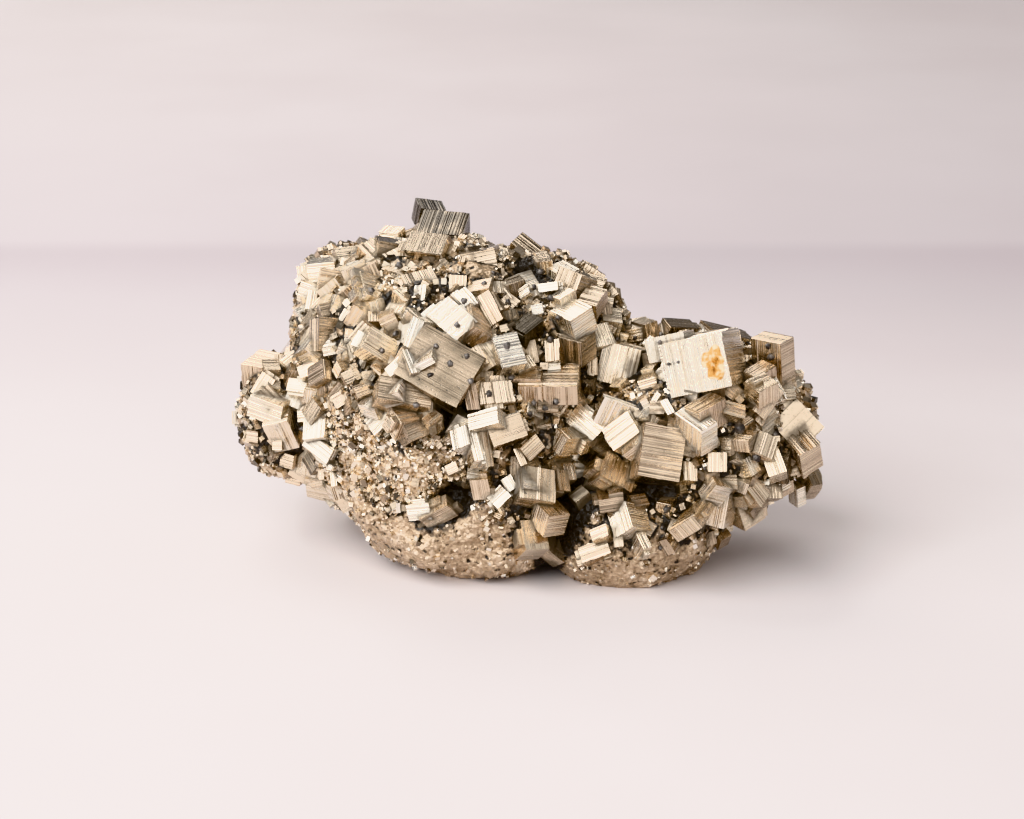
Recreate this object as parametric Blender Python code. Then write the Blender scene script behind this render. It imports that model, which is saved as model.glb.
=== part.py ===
"""Pyrite specimen: a cluster of striated cubes grown together on a granular pyrite matrix.

It is one natural piece, so it is one solid. The matrix is a lumpy body with a worn flat underneath.
The crystals that show on the front are placed one by one, and those round the back follow a rule.
Lengths are in millimetres until the last step. +X runs along the length, +Y away from the front, +Z up.
"""

import math

import bmesh
import bpy
import numpy as np
from mathutils import Matrix, Vector

MM = 0.001

# Driving sizes of the matrix, in millimetres: each lump is an ellipsoid, its centre and its three radii.
LUMPS = [
    ((-10.0, 0.0, 20.0), (22.5, 21.0, 20.0)),
    ((23.5, -6.0, 18.3), (16.0, 14.0, 13.0)),
    ((-35.0, 2.0, 16.8), (6.0, 9.0, 8.3)),
    ((-24.0, 12.0, 29.5), (9.0, 12.0, 10.0)),
    ((-11.0, 4.0, 28.0), (21.0, 15.0, 13.0)),
    ((-12.5, 15.0, 33.0), (9.0, 8.0, 8.0)),
    ((0.0, 0.0, 30.0), (13.5, 12.0, 10.5)),
    ((-6.0, -12.5, 9.0), (18.0, 9.5, 10.0)),
    ((13.7, -14.0, 6.0), (12.0, 9.5, 8.5)),
    ((-5.0, 1.0, 8.0), (21.0, 17.0, 10.0)),
]
HEART = (-5.0, 0.0, 18.0)  # a point well inside, from which the matrix is drawn outwards
BLEND_POWER = 16.0  # how sharply the lumps meet
SKIRT = 4.0  # how sharply a lump's side falls away beyond its edge, as seen from the heart
LEDGE_HEIGHT = 0.32  # of each wave of ledges over the matrix
LEDGES = [  # each wave: how it crosses the directions from the heart, and where it starts
    ((13.0, 5.0, 3.0), 0.0),
    ((-6.0, 11.0, 9.0), 1.3),
    ((4.0, -9.0, 12.0), 2.1),
    ((17.0, 12.0, -7.0), 0.7),
]
BASE_DEPTH = 0.6  # how far the matrix reaches below the resting face before it is cut flat
SUBDIVISIONS = 4  # of the icosphere that becomes the matrix
MATRIX_SHARE = 0.3  # share of its triangles that are kept
FLOOR_BLOCK = 200.0  # edge of the block that cuts the resting face, well over the specimen's length

# The view that the front crystals are described in: a long lens, looking slightly down.
PICTURE_SIZE = (1024.0, 819.0)
FOCAL_PIXELS = 2844.0
VIEW_DISTANCE = 403.0
VIEW_DOWN = math.radians(18.0)
VIEW_TARGET = (-2.3, 0.0, 19.0)
STEEPEST_TILT = 4.0  # most that an edge leads towards the viewer, for each unit that is seen of it
TILT_TRIES = 400

# One row for each crystal on the front. The first three pairs are corners of its nearest face in the
# picture, in pixels: a corner, its neighbour along the growth lines, and its other neighbour. Then come
# the rightward and upward parts of that face's normal, the depth behind it and how far it stands proud.
RIGHT_LOBE = [
    ((655, 343), (667, 400), (721, 329), (-0.32, 0.10), 9.0, 4.5),
    ((750, 338), (752, 384), (780, 344), (-0.20, -0.05), 3.5, 1.6),
    ((742, 371), (762, 359), (757, 378), (0.10, 0.50), 3.0, 2.5),
    ((765, 421), (785, 392), (752, 409), (0.25, 0.00), 4.0, 2.0),
    ((743, 381), (759, 393), (743, 398), (-0.20, 0.10), 3.5, 2.0),
    ((779, 434), (799, 457), (801, 420), (-0.30, 0.28), 6.0, 3.0),
    ((797, 398), (771, 424), (825, 427), (0.10, 0.25), 6.0, 1.5),
    ((779, 384), (793, 383), (783, 400), (0.10, 0.30), 3.0, 1.0),
    ((760, 451), (769, 477), (778, 445), (-0.22, 0.20), 4.0, 2.5),
    ((760, 429), (753, 451), (779, 438), (0.15, 0.20), 3.5, 1.8),
    ((731, 439), (733, 452), (748, 441), (-0.15, -0.10), 3.0, 1.5),
    ((708, 452), (708, 472), (727, 452), (-0.05, 0.05), 4.0, 2.0),
    ((718, 436), (694, 449), (721, 445), (0.05, -0.25), 3.5, 1.5),
    ((674, 412), (702, 432), (691, 402), (-0.30, 0.20), 4.5, 3.0),
    ((683, 406), (710, 391), (699, 413), (0.10, 0.45), 4.0, 2.6),
    ((724, 399), (746, 405), (724, 413), (0.10, -0.10), 3.0, 1.5),
    ((690, 429), (645, 421), (682, 483), (0.06, 0.04), 7.0, 3.0),
    ((683, 461), (684, 480), (697, 462), (0.10, -0.05), 3.0, 1.5),
    ((697, 491), (711, 473), (703, 503), (-0.30, 0.05), 3.0, 2.2),
    ((714, 474), (737, 474), (715, 490), (0.05, 0.05), 3.5, 1.5),
    ((700, 500), (720, 507), (696, 519), (0.05, 0.00), 4.0, 2.0),
    ((667, 532), (692, 517), (682, 508), (-0.05, 0.55), 2.2, 3.2),
    ((607, 450), (599, 474), (640, 469), (0.05, 0.18), 5.0, 3.5),
    ((598, 500), (624, 496), (600, 514), (0.00, -0.35), 6.0, 2.2),
    ((624, 500), (632, 527), (606, 513), (-0.10, -0.10), 4.0, 1.5),
    ((601, 430), (628, 410), (613, 451), (-0.20, 0.15), 5.0, 3.0),
    ((622, 456), (643, 441), (631, 462), (-0.25, 0.05), 3.0, 2.8),
    ((588, 456), (590, 470), (603, 452), (-0.20, 0.10), 3.5, 1.8),
    ((589, 530), (606, 523), (592, 542), (0.00, 0.10), 4.0, 1.5),
    ((577, 547), (606, 537), (582, 563), (0.00, 0.10), 5.0, 1.0),
    ((636, 532), (644, 549), (645, 530), (-0.25, 0.10), 3.0, 1.8),
    ((613, 527), (615, 547), (622, 526), (0.10, 0.10), 3.0, 1.2),
    ((655, 503), (655, 517), (670, 506), (0.05, -0.15), 4.0, 0.4),
    ((713, 530), (721, 541), (724, 524), (0.10, 0.10), 3.0, 1.2),
    ((704, 534), (707, 548), (715, 530), (0.25, -0.10), 3.0, 1.0),
    ((747, 490), (761, 508), (758, 474), (0.10, 0.10), 4.0, 2.2),
    ((805, 470), (812, 486), (819, 468), (0.20, 0.10), 4.0, 1.0),
    ((788, 484), (797, 490), (797, 480), (-0.35, 0.20), 3.0, 1.0),
    ((616, 331), (644, 326), (620, 346), (0.00, -0.25), 3.6, 2.5),
    ((645, 325), (648, 343), (658, 320), (0.20, 0.10), 3.5, 2.0),
    ((662, 316), (690, 318), (671, 327), (0.05, 0.62), 3.0, 2.0),
    ((660, 322), (662, 337), (672, 324), (0.00, 0.10), 3.0, 2.0),
    ((700, 319), (742, 329), (716, 331), (0.10, 0.60), 4.0, 0.0),
    ((604, 340), (594, 381), (641, 350), (-0.22, 0.05), 7.0, 4.0),
    ((651, 400), (657, 391), (655, 404), (-0.30, 0.10), 2.5, 1.5),
    ((660, 401), (668, 415), (667, 398), (-0.35, 0.10), 2.5, 2.0),
    ((603, 392), (638, 404), (605, 397), (0.00, -0.30), 4.0, 2.6),
    ((603, 398), (603, 413), (620, 402), (0.05, 0.00), 3.0, 0.8),
    ((586, 382), (584, 398), (597, 380), (0.05, 0.00), 3.0, 1.2),
    ((578, 356), (578, 376), (598, 356), (0.12, 0.00), 4.0, 2.0),
]
CENTRE = [
    ((424, 322), (487, 357), (393, 373), (0.10, 0.08), 4.0, 3.0),
    ((412, 316), (402, 345), (424, 322), (-0.40, 0.10), 4.0, 3.2),
    ((447, 294), (424, 314), (478, 321), (-0.30, 0.30), 6.0, 3.0),
    ((453, 295), (467, 311), (465, 286), (-0.30, 0.30), 4.0, 2.8),
    ((488, 289), (504, 318), (474, 298), (0.10, 0.30), 4.0, 2.5),
    ((527, 311), (508, 326), (544, 320), (0.00, 0.72), 5.0, 2.5),
    ((492, 336), (518, 331), (503, 368), (-0.20, 0.12), 5.0, 3.0),
    ((475, 326), (459, 340), (494, 338), (0.20, -0.25), 5.0, 1.5),
    ((477, 382), (481, 405), (512, 379), (0.05, 0.10), 5.0, 1.6),
    ((462, 384), (467, 411), (476, 383), (-0.10, 0.00), 4.0, 1.4),
    ((517, 386), (518, 406), (578, 386), (0.05, -0.36), 6.8, 2.8),
    ((544, 340), (545, 362), (559, 338), (-0.12, 0.08), 4.0, 2.2),
    ((549, 311), (556, 334), (570, 321), (-0.35, 0.25), 4.0, 2.0),
    ((572, 325), (596, 331), (557, 336), (0.20, 0.35), 4.0, 2.2),
    ((576, 301), (577, 316), (596, 306), (-0.05, -0.45), 4.0, 2.0),
    ((597, 305), (599, 318), (611, 302), (0.35, -0.10), 4.0, 1.6),
    ((583, 271), (608, 278), (577, 281), (0.10, 0.50), 4.0, 1.8),
    ((606, 285), (608, 303), (621, 288), (0.30, 0.00), 4.0, 1.0),
    ((522, 231), (549, 252), (510, 242), (0.22, 0.62), 4.5, 3.0),
    ((508, 252), (523, 264), (503, 259), (-0.10, -0.20), 4.0, 2.0),
    ((540, 262), (541, 276), (553, 260), (-0.15, -0.25), 4.0, 1.8),
    ((537, 284), (557, 281), (538, 293), (-0.20, -0.15), 3.5, 2.0),
    ((499, 266), (483, 277), (509, 273), (-0.20, 0.55), 4.0, 2.0),
    ((457, 257), (463, 283), (473, 254), (0.12, 0.10), 4.0, 2.2),
    ((445, 257), (433, 267), (456, 268), (0.00, 0.50), 3.5, 1.8),
    ((400, 274), (413, 298), (432, 265), (-0.10, 0.30), 4.5, 2.4),
    ((414, 285), (412, 301), (426, 284), (-0.35, 0.20), 2.5, 2.8),
    ((359, 269), (387, 278), (366, 294), (-0.10, 0.20), 2.6, 2.4),
    ((402, 250), (441, 255), (408, 260), (-0.10, 0.52), 3.5, 1.8),
    ((392, 260), (380, 269), (410, 264), (0.05, 0.60), 3.5, 1.4),
    ((415, 232), (462, 236), (416, 252), (0.02, -0.30), 6.0, 1.5),
    ((420, 208), (447, 211), (416, 229), (0.05, -0.20), 4.5, 0.5),
    ((378, 232), (397, 234), (380, 247), (-0.20, 0.10), 2.5, 1.0),
    ((358, 329), (350, 345), (378, 337), (-0.32, 0.15), 4.5, 3.0),
    ((373, 325), (404, 344), (362, 349), (0.00, 0.12), 3.5, 1.8),
    ((398, 356), (384, 369), (404, 364), (-0.15, 0.20), 3.0, 1.8),
    ((401, 350), (411, 374), (411, 348), (-0.38, 0.20), 3.0, 4.2),
    ((412, 366), (431, 356), (417, 373), (-0.35, 0.20), 3.0, 4.4),
    ((380, 374), (434, 384), (377, 398), (0.06, 0.12), 5.0, 3.2),
    ((376, 396), (397, 391), (386, 409), (-0.35, 0.20), 3.0, 3.8),
    ((357, 404), (374, 409), (362, 416), (-0.35, 0.20), 3.0, 1.5),
    ((391, 408), (411, 404), (401, 423), (0.10, 0.00), 3.5, 1.8),
    ((434, 408), (421, 418), (443, 415), (-0.05, 0.20), 3.0, 1.5),
    ((467, 414), (497, 406), (468, 430), (-0.35, 0.15), 5.0, 2.8),
    ((466, 430), (474, 461), (479, 428), (-0.35, 0.10), 3.5, 2.8),
    ((449, 431), (453, 451), (466, 424), (-0.35, 0.20), 4.0, 2.0),
    ((480, 432), (485, 468), (490, 430), (0.05, 0.00), 4.0, 2.4),
    ((483, 424), (520, 411), (492, 448), (0.06, 0.14), 6.0, 2.8),
    ((520, 448), (536, 433), (530, 462), (0.05, 0.00), 4.0, 2.2),
    ((513, 449), (521, 467), (520, 446), (-0.25, 0.00), 3.5, 2.0),
    ((580, 402), (607, 425), (563, 420), (-0.22, 0.12), 5.0, 3.0),
    ((556, 428), (547, 445), (568, 440), (-0.10, 0.00), 4.0, 2.4),
    ((569, 430), (586, 443), (564, 443), (-0.25, 0.05), 4.0, 3.0),
    ((521, 464), (520, 497), (557, 470), (0.06, 0.02), 6.0, 2.8),
    ((511, 474), (514, 497), (521, 465), (-0.45, 0.05), 4.0, 2.2),
    ((556, 468), (559, 490), (568, 470), (0.30, 0.00), 4.0, 2.0),
    ((563, 462), (567, 480), (574, 462), (0.10, 0.00), 3.5, 1.6),
    ((469, 480), (473, 501), (488, 479), (-0.30, -0.30), 3.2, 2.0),
    ((486, 497), (500, 484), (498, 509), (-0.30, 0.15), 4.0, 2.4),
    ((500, 480), (508, 493), (510, 474), (-0.25, 0.10), 3.0, 1.6),
    ((534, 501), (549, 517), (556, 498), (-0.10, 0.10), 3.5, 2.0),
    ((520, 520), (526, 550), (544, 519), (0.15, 0.10), 4.0, 1.6),
    ((533, 552), (553, 568), (545, 547), (0.10, -0.30), 3.0, 1.2),
    ((418, 521), (447, 506), (430, 531), (-0.05, 0.00), 2.2, 0.6),
    ((405, 505), (428, 503), (409, 522), (-0.30, 0.10), 3.5, 1.0),
    ((391, 503), (392, 513), (400, 503), (-0.30, 0.10), 3.0, 1.0),
    ((478, 241), (497, 246), (457, 250), (0.05, 0.62), 3.5, 1.6),
    ((474, 249), (484, 268), (480, 246), (-0.25, 0.30), 3.0, 1.8),
    ((517, 290), (527, 283), (520, 300), (-0.25, 0.15), 3.0, 1.4),
    ((530, 305), (542, 303), (532, 315), (-0.20, 0.20), 3.0, 1.6),
    ((549, 296), (560, 300), (552, 310), (-0.30, 0.15), 3.0, 1.4),
    ((561, 294), (558, 313), (573, 298), (0.05, 0.05), 3.5, 1.4),
    ((584, 289), (597, 299), (578, 297), (0.00, 0.45), 3.0, 2.4),
    ((601, 320), (614, 326), (596, 330), (0.10, 0.20), 3.5, 1.4),
    ((444, 466), (455, 461), (448, 476), (0.00, 0.10), 3.0, 0.8),
    ((340, 373), (356, 366), (347, 385), (-0.20, 0.20), 3.0, 1.4),
    ((352, 386), (368, 380), (358, 398), (0.00, 0.20), 3.5, 1.4),
]
LEFT_SIDE = [
    ((240, 363), (243, 393), (262, 368), (-0.25, -0.22), 5.0, 1.6),
    ((270, 383), (285, 399), (254, 393), (0.05, 0.30), 4.0, 2.4),
    ((262, 371), (249, 391), (275, 380), (-0.10, 0.20), 4.0, 2.0),
    ((289, 377), (319, 381), (286, 390), (-0.25, 0.00), 4.5, 2.6),
    ((296, 367), (321, 357), (300, 379), (-0.25, 0.25), 4.5, 2.2),
    ((322, 358), (324, 378), (331, 360), (-0.20, 0.10), 3.5, 2.4),
    ((250, 395), (283, 407), (246, 416), (-0.10, -0.12), 5.0, 2.6),
    ((231, 411), (232, 425), (243, 411), (-0.40, 0.20), 4.0, 2.0),
    ((304, 415), (302, 440), (326, 412), (-0.25, 0.10), 5.0, 2.4),
    ((309, 430), (334, 450), (301, 446), (-0.35, 0.20), 4.0, 3.2),
    ((311, 396), (300, 413), (321, 409), (-0.05, 0.15), 4.0, 2.6),
    ((272, 440), (282, 440), (272, 450), (-0.30, 0.15), 3.0, 1.5),
    ((329, 470), (331, 487), (335, 469), (-0.20, 0.10), 3.0, 1.5),
    ((296, 266), (297, 279), (307, 265), (-0.35, 0.20), 4.0, 1.0),
    ((297, 293), (297, 312), (306, 292), (-0.35, 0.15), 4.0, 1.0),
    ((318, 247), (321, 262), (334, 246), (0.05, 0.10), 4.0, 1.0),
    ((344, 242), (346, 255), (358, 241), (0.10, 0.20), 3.0, 1.0),
    ((293, 320), (292, 340), (303, 321), (-0.20, 0.10), 3.5, 1.0),
    ((246, 430), (258, 432), (246, 442), (-0.20, -0.10), 3.5, 0.8),
    ((281, 452), (294, 456), (279, 466), (-0.10, -0.10), 4.0, 0.8),
    ((284, 470), (300, 474), (284, 483), (0.00, -0.20), 4.0, 0.6),
]

# Where the matrix falls back into a dark hollow: its middle in the picture, its radius and its depth.
HOLLOWS = [
    ((574, 512), 4.6, 6.0),
    ((449, 409), 2.6, 3.6),
    ((455, 501), 2.6, 3.4),
    ((545, 570), 2.2, 2.4),
    ((641, 367), 2.6, 3.0),
    ((656, 494), 2.6, 2.4),
    ((529, 274), 2.2, 2.4),
    ((392, 303), 1.8, 1.8),
    ((700, 432), 2.0, 2.0),
]

# The specimen's outline in the picture, clockwise from its left end, and the bare granular patch on the
# lower left of its front.
OUTLINE = [
    (231, 415), (237, 364), (268, 349), (294, 345), (290, 300), (293, 266), (310, 248), (355, 237),
    (380, 227), (402, 236), (430, 200), (466, 221), (471, 237), (502, 243), (523, 230), (556, 256),
    (592, 258), (621, 288), (630, 315), (665, 312), (735, 325), (787, 348), (788, 380), (826, 427),
    (819, 472), (820, 488), (800, 503), (780, 501), (758, 530), (722, 542), (680, 570), (648, 587),
    (580, 580), (500, 572), (390, 558), (349, 518), (296, 496), (275, 485), (258, 457), (236, 438),
]
GRANULAR_PATCH = [
    (313, 395), (350, 405), (385, 425), (455, 438), (466, 478), (515, 510), (560, 590), (380, 590),
    (300, 520),
]

# The crystals of the back, top and sides follow a rule: they are spread evenly, and sized and turned
# at random from one seed.
SEED = 11
RULE_TRIES = 0.8  # places tried on each lump, for every square millimetre of its mean radius squared
RULE_SIZES = (3.0, 8.0)  # shortest and longest edge
RULE_FRONT_SIZES = (2.2, 3.6)  # the same, between the front's crystals
RULE_FRONT = 0.25  # a place counts as on the front when it faces the viewer by this much
RULE_LOWEST = 3.0  # no corner of a rule crystal is lower than this
BURIED = 1.5  # a place further than this from the matrix's surface is buried
RULE_KEEP_CLEAR = 0.84  # share of two crystals' sizes that their centres keep apart

ORIGIN = (-0.645, 0.19, 0.0)  # the middle of the finished specimen's footprint, in the frame above


def unit(vector):
    """The vector at length one."""
    vector = np.asarray(vector, float)
    return vector / np.linalg.norm(vector, axis=-1, keepdims=True)


def lump_reach(ways):
    """How far each way leads from the heart to each lump's far side. Beyond a lump's edge the reach
    falls away fast but smoothly."""
    reach = np.zeros((len(LUMPS), len(ways)))
    for row, (centre, radii) in enumerate(LUMPS):
        o = (np.asarray(HEART) - centre) / radii
        d = ways / radii
        a = (d * d).sum(axis=1)
        b = d @ o
        gap = b * b / a - (o @ o - 1.0)
        side = -b / a
        if o @ o > 1.0:
            side = np.maximum(side, 0.0) * np.exp(SKIRT * np.minimum(gap, 0.0))
        reach[row] = side + np.sqrt(np.maximum(gap, 0.0) / a)
    return reach


def matrix_points(ways):
    """Points of the matrix's surface in these directions from its heart: a soft union of the lumps with
    a few crossed waves for ledges, drawn in at the hollows and level underneath."""
    reach = (lump_reach(ways) ** BLEND_POWER).sum(axis=0) ** (1.0 / BLEND_POWER)
    for crossing, start in LEDGES:
        reach = reach + LEDGE_HEIGHT * np.sin(ways @ np.asarray(crossing) + start)
    for pixel, radius, depth in HOLLOWS:
        eye, way = sight_line(pixel)
        middle = eye + way * reach_matrix(eye, way)
        away = np.linalg.norm(np.asarray(HEART) + ways * reach[:, None] - middle, axis=1)
        reach = reach - depth * np.exp(-((away / radius) ** 2))
    to_base = (HEART[2] + BASE_DEPTH) / np.maximum(-ways[:, 2], 1e-6)
    return np.asarray(HEART) + ways * np.minimum(reach, to_base)[:, None]


def view_axes():
    """Right, up and forward of the view that the front crystals are described in."""
    right = np.array([1.0, 0.0, 0.0])
    forward = np.array([0.0, math.cos(VIEW_DOWN), -math.sin(VIEW_DOWN)])
    return right, np.cross(right, forward), forward


def sight_line(pixel):
    """The eye, and the unit direction from it through a pixel of the picture."""
    right, up, forward = view_axes()
    eye = np.asarray(VIEW_TARGET) - VIEW_DISTANCE * forward
    off = np.asarray(pixel, float) - np.asarray(PICTURE_SIZE) / 2
    return eye, unit(forward * FOCAL_PIXELS + right * off[0] - up * off[1])


def in_picture(points):
    """Where points fall in the picture, in pixels."""
    right, up, forward = view_axes()
    away = np.asarray(points) - (np.asarray(VIEW_TARGET) - VIEW_DISTANCE * forward)
    across = np.stack([away @ right, -(away @ up)], axis=-1)
    return np.asarray(PICTURE_SIZE) / 2 + FOCAL_PIXELS * across / (away @ forward)[..., None]


def inside(pixels, outline):
    """Whether each pixel is inside the outline: a line to its right crosses it an odd number of times."""
    start = np.asarray(outline, float)
    end = np.roll(start, -1, axis=0)
    x, y = pixels[:, None, 0], pixels[:, None, 1]
    spans = (start[:, 1] > y) != (end[:, 1] > y)
    rise = np.where(spans, end[:, 1] - start[:, 1], 1.0)
    meets = start[:, 0] + (end[:, 0] - start[:, 0]) * (y - start[:, 1]) / rise
    return (spans & (x < meets)).sum(axis=1) % 2 == 1


def reach_matrix(start, way):
    """How far along a ray the nearest lump is, or the nearest pass to one where the ray misses all."""
    best_hit, best_pass = None, (np.inf, 0.0)
    for centre, radii in LUMPS:
        o = (np.asarray(start) - centre) / radii
        d = way / radii
        a, b = d @ d, d @ o
        gap = b * b - a * (o @ o - 1.0)
        if gap > 0:
            hit = (-b - math.sqrt(gap)) / a
            best_hit = hit if best_hit is None else min(best_hit, hit)
        best_pass = min(best_pass, (o @ o - b * b / a, -b / a))
    return best_pass[1] if best_hit is None else best_hit


def tilts(u, v, looks):
    """The parts towards the viewer of two edges seen as u and v: those that make them square to each
    other and come nearest to a face that looks that way."""
    nx, ny = looks
    nz = math.sqrt(1.0 - nx * nx - ny * ny)
    wanted = np.array([-(nx * u[0] + ny * u[1]) / nz, -(nx * v[0] + ny * v[1]) / nz])
    product = -float(np.dot(u, v))
    longest = STEEPEST_TILT * max(np.linalg.norm(u), np.linalg.norm(v))
    spread = np.geomspace(longest * 1e-4, longest, TILT_TRIES)
    first = np.concatenate([spread, -spread])
    pairs = np.stack([first, product / first], axis=1)
    return pairs[((pairs - wanted) ** 2).sum(axis=1).argmin()]


def seen_crystal(corner, along, across, looks, deep, proud):
    """A box from its nearest face in the picture: its centre, its three unit axes and its half sizes."""
    _, up, forward = view_axes()
    eye, way = sight_line((np.asarray(along, float) + across) / 2)
    distance = reach_matrix(eye, way) - proud
    local_right = unit(np.cross(way, up))
    local_up = np.cross(local_right, way)
    scale = distance * (way @ forward) / FOCAL_PIXELS
    u = (np.asarray(along, float) - corner) * (scale, -scale)
    v = (np.asarray(across, float) - corner) * (scale, -scale)
    nearer_u, nearer_v = tilts(u, v, looks)
    edge_u = u[0] * local_right + u[1] * local_up - nearer_u * way
    edge_v = v[0] * local_right + v[1] * local_up - nearer_v * way
    normal = unit(np.cross(edge_u, edge_v))
    if normal @ way > 0:
        normal = -normal
    axes = np.array([unit(edge_u), unit(np.cross(normal, edge_u)), normal])
    half = np.array([np.linalg.norm(edge_u), np.linalg.norm(edge_v), deep]) / 2
    centre = eye + way * distance - normal * deep / 2
    return centre, axes, half


def random_turn(rng):
    """Three square axes, turned at random."""
    axes, _ = np.linalg.qr(rng.normal(size=(3, 3)))
    return axes


def even_ways(count):
    """Directions spread evenly over a sphere, along a golden spiral."""
    step = np.arange(count) + 0.5
    height = 1.0 - 2.0 * step / count
    turn = math.pi * (1.0 + math.sqrt(5.0)) * step
    level = np.sqrt(1.0 - height * height)
    return np.stack([level * np.cos(turn), level * np.sin(turn), height], axis=1)


def bare_places():
    """Places spread evenly over every lump, less those that another lump buries."""
    lumps = []
    for centre, radii in LUMPS:
        count = round(RULE_TRIES * np.mean(radii) ** 2)
        lumps.append(np.asarray(centre) + even_ways(count) * radii)
    places = np.concatenate(lumps)
    surface = matrix_points(unit(places - HEART))
    return places[np.linalg.norm(surface - places, axis=1) < BURIED]


def corners(crystal):
    """A crystal's eight corners."""
    centre, axes, half = crystal
    signs = np.array([(i, j, k) for i in (-1, 1) for j in (-1, 1) for k in (-1, 1)])
    return centre + signs * half @ axes


def rule_crystals(placed):
    """Boxes over what the placed crystals leave bare: each stays inside the outline and off the floor,
    and those on the front are small and keep off the granular patch."""
    rng = np.random.default_rng(SEED)
    points = rng.permutation(bare_places())
    on_front = unit(points - HEART) @ view_axes()[2] < -RULE_FRONT
    granular = inside(in_picture(points), GRANULAR_PATCH)
    taken = [(centre, half.max()) for centre, _, half in placed]
    found = []
    for point, front, bare in zip(points, on_front, granular):
        low, high = RULE_FRONT_SIZES if front else RULE_SIZES
        size = low + (high - low) * rng.random() ** 2.0
        crystal = (point, random_turn(rng), size / 2 * (1.0 - 0.35 * rng.random(3) ** 1.5))
        around = corners(crystal)
        clear = [np.linalg.norm(point - c) > RULE_KEEP_CLEAR * (r + size / 2) for c, r in taken]
        fits = around[:, 2].min() > RULE_LOWEST and inside(in_picture(around), OUTLINE).all()
        if fits and all(clear) and not (front and bare):
            taken.append((point, size / 2))
            found.append(crystal)
    return found


def box_object(name, crystal, collection):
    """One crystal as a cube primitive, placed, turned and sized."""
    centre, axes, half = crystal
    mesh = bpy.data.meshes.new(name)
    form = bmesh.new()
    bmesh.ops.create_cube(form, size=2.0)
    turn = Matrix((Vector(axes[0]), Vector(axes[1]), Vector(axes[2]))).transposed().to_4x4()
    sizes = Matrix.Diagonal((*half, 1.0))
    place = Matrix.Translation(Vector(centre) - Vector(ORIGIN))
    bmesh.ops.transform(form, matrix=Matrix.Scale(MM, 4) @ place @ turn @ sizes, verts=form.verts)
    bmesh.ops.recalc_face_normals(form, faces=form.faces)
    form.to_mesh(mesh)
    form.free()
    piece = bpy.data.objects.new(name, mesh)
    piece.hide_render = True
    piece.display_type = "WIRE"
    collection.objects.link(piece)
    return piece


def matrix_object(collection):
    """The granular body: an icosphere drawn out to the lumps' surface and thinned to fewer triangles."""
    mesh = bpy.data.meshes.new("pyrite_cluster")
    form = bmesh.new()
    bmesh.ops.create_icosphere(form, subdivisions=SUBDIVISIONS, radius=1.0)
    ways = unit([vertex.co for vertex in form.verts])
    for vertex, point in zip(form.verts, matrix_points(ways)):
        vertex.co = (Vector(point) - Vector(ORIGIN)) * MM
    form.to_mesh(mesh)
    form.free()
    piece = bpy.data.objects.new("pyrite_cluster", mesh)
    collection.objects.link(piece)
    thin = piece.modifiers.new("thinned", "DECIMATE")
    thin.ratio = MATRIX_SHARE
    return piece


def floor_block(collection):
    """What cuts the specimen flat where it rests."""
    bpy.ops.mesh.primitive_cube_add(size=FLOOR_BLOCK * MM, location=(0.0, 0.0, -FLOOR_BLOCK * MM / 2))
    block = bpy.context.active_object
    block.name = "floor_cutter"
    for holder in list(block.users_collection):
        holder.objects.unlink(block)
    collection.objects.link(block)
    block.hide_render = True
    block.display_type = "WIRE"
    return block


def pyrite():
    """Pale brassy metal."""
    material = bpy.data.materials.new("pyrite")
    material.use_nodes = True
    shader = material.node_tree.nodes["Principled BSDF"]
    shader.inputs["Base Color"].default_value = (0.56, 0.47, 0.33, 1.0)
    shader.inputs["Metallic"].default_value = 1.0
    shader.inputs["Roughness"].default_value = 0.32
    return material


def keep_outer_shell(piece):
    """Makes the modifiers final, and fills the closed pockets that crystals leave between them: the
    shell with the most corners is the outside, and the small ones within it are dropped."""
    graph = bpy.context.evaluated_depsgraph_get()
    mesh = bpy.data.meshes.new_from_object(piece.evaluated_get(graph))
    form = bmesh.new()
    form.from_mesh(mesh)
    loose = set(form.verts)
    shells = []
    while loose:
        shell, edge_of_shell = set(), [loose.pop()]
        while edge_of_shell:
            vertex = edge_of_shell.pop()
            shell.add(vertex)
            near = {edge.other_vert(vertex) for edge in vertex.link_edges} & loose
            loose -= near
            edge_of_shell.extend(near)
        shells.append(shell)
    outer = max(shells, key=len)
    inner = [vertex for vertex in form.verts if vertex not in outer]
    bmesh.ops.delete(form, geom=inner, context="VERTS")
    form.to_mesh(mesh)
    form.free()
    piece.modifiers.clear()
    piece.data = mesh


def new_collection(name):
    """A collection in the scene."""
    collection = bpy.data.collections.new(name)
    bpy.context.scene.collection.children.link(collection)
    return collection


def main():
    for old in list(bpy.data.objects):
        bpy.data.objects.remove(old)
    specimen = new_collection("pyrite_specimen")
    crystals = new_collection("crystals")
    cutters = new_collection("cutters")
    placed = [seen_crystal(*row) for row in RIGHT_LOBE + CENTRE + LEFT_SIDE]
    every = placed + rule_crystals(placed)
    for number, crystal in enumerate(every):
        box_object(f"crystal_{number:03d}", crystal, crystals)
    cluster = matrix_object(specimen)
    cluster.data.materials.append(pyrite())
    grown = cluster.modifiers.new("grown_together", "BOOLEAN")
    grown.operand_type = "COLLECTION"
    grown.collection = crystals
    grown.operation = "UNION"
    flat = cluster.modifiers.new("resting_face", "BOOLEAN")
    flat.object = floor_block(cutters)
    flat.operation = "DIFFERENCE"
    keep_outer_shell(cluster)


main()
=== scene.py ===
"""Pyrite specimen: a cluster of striated cubes grown on a granular matrix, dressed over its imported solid.

Lengths are in millimetres and turned into metres where a mesh is made. +X runs along the length, +Y away
from the front, +Z up. The sections follow how the specimen grew, from the matrix out.
"""

import math

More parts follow.
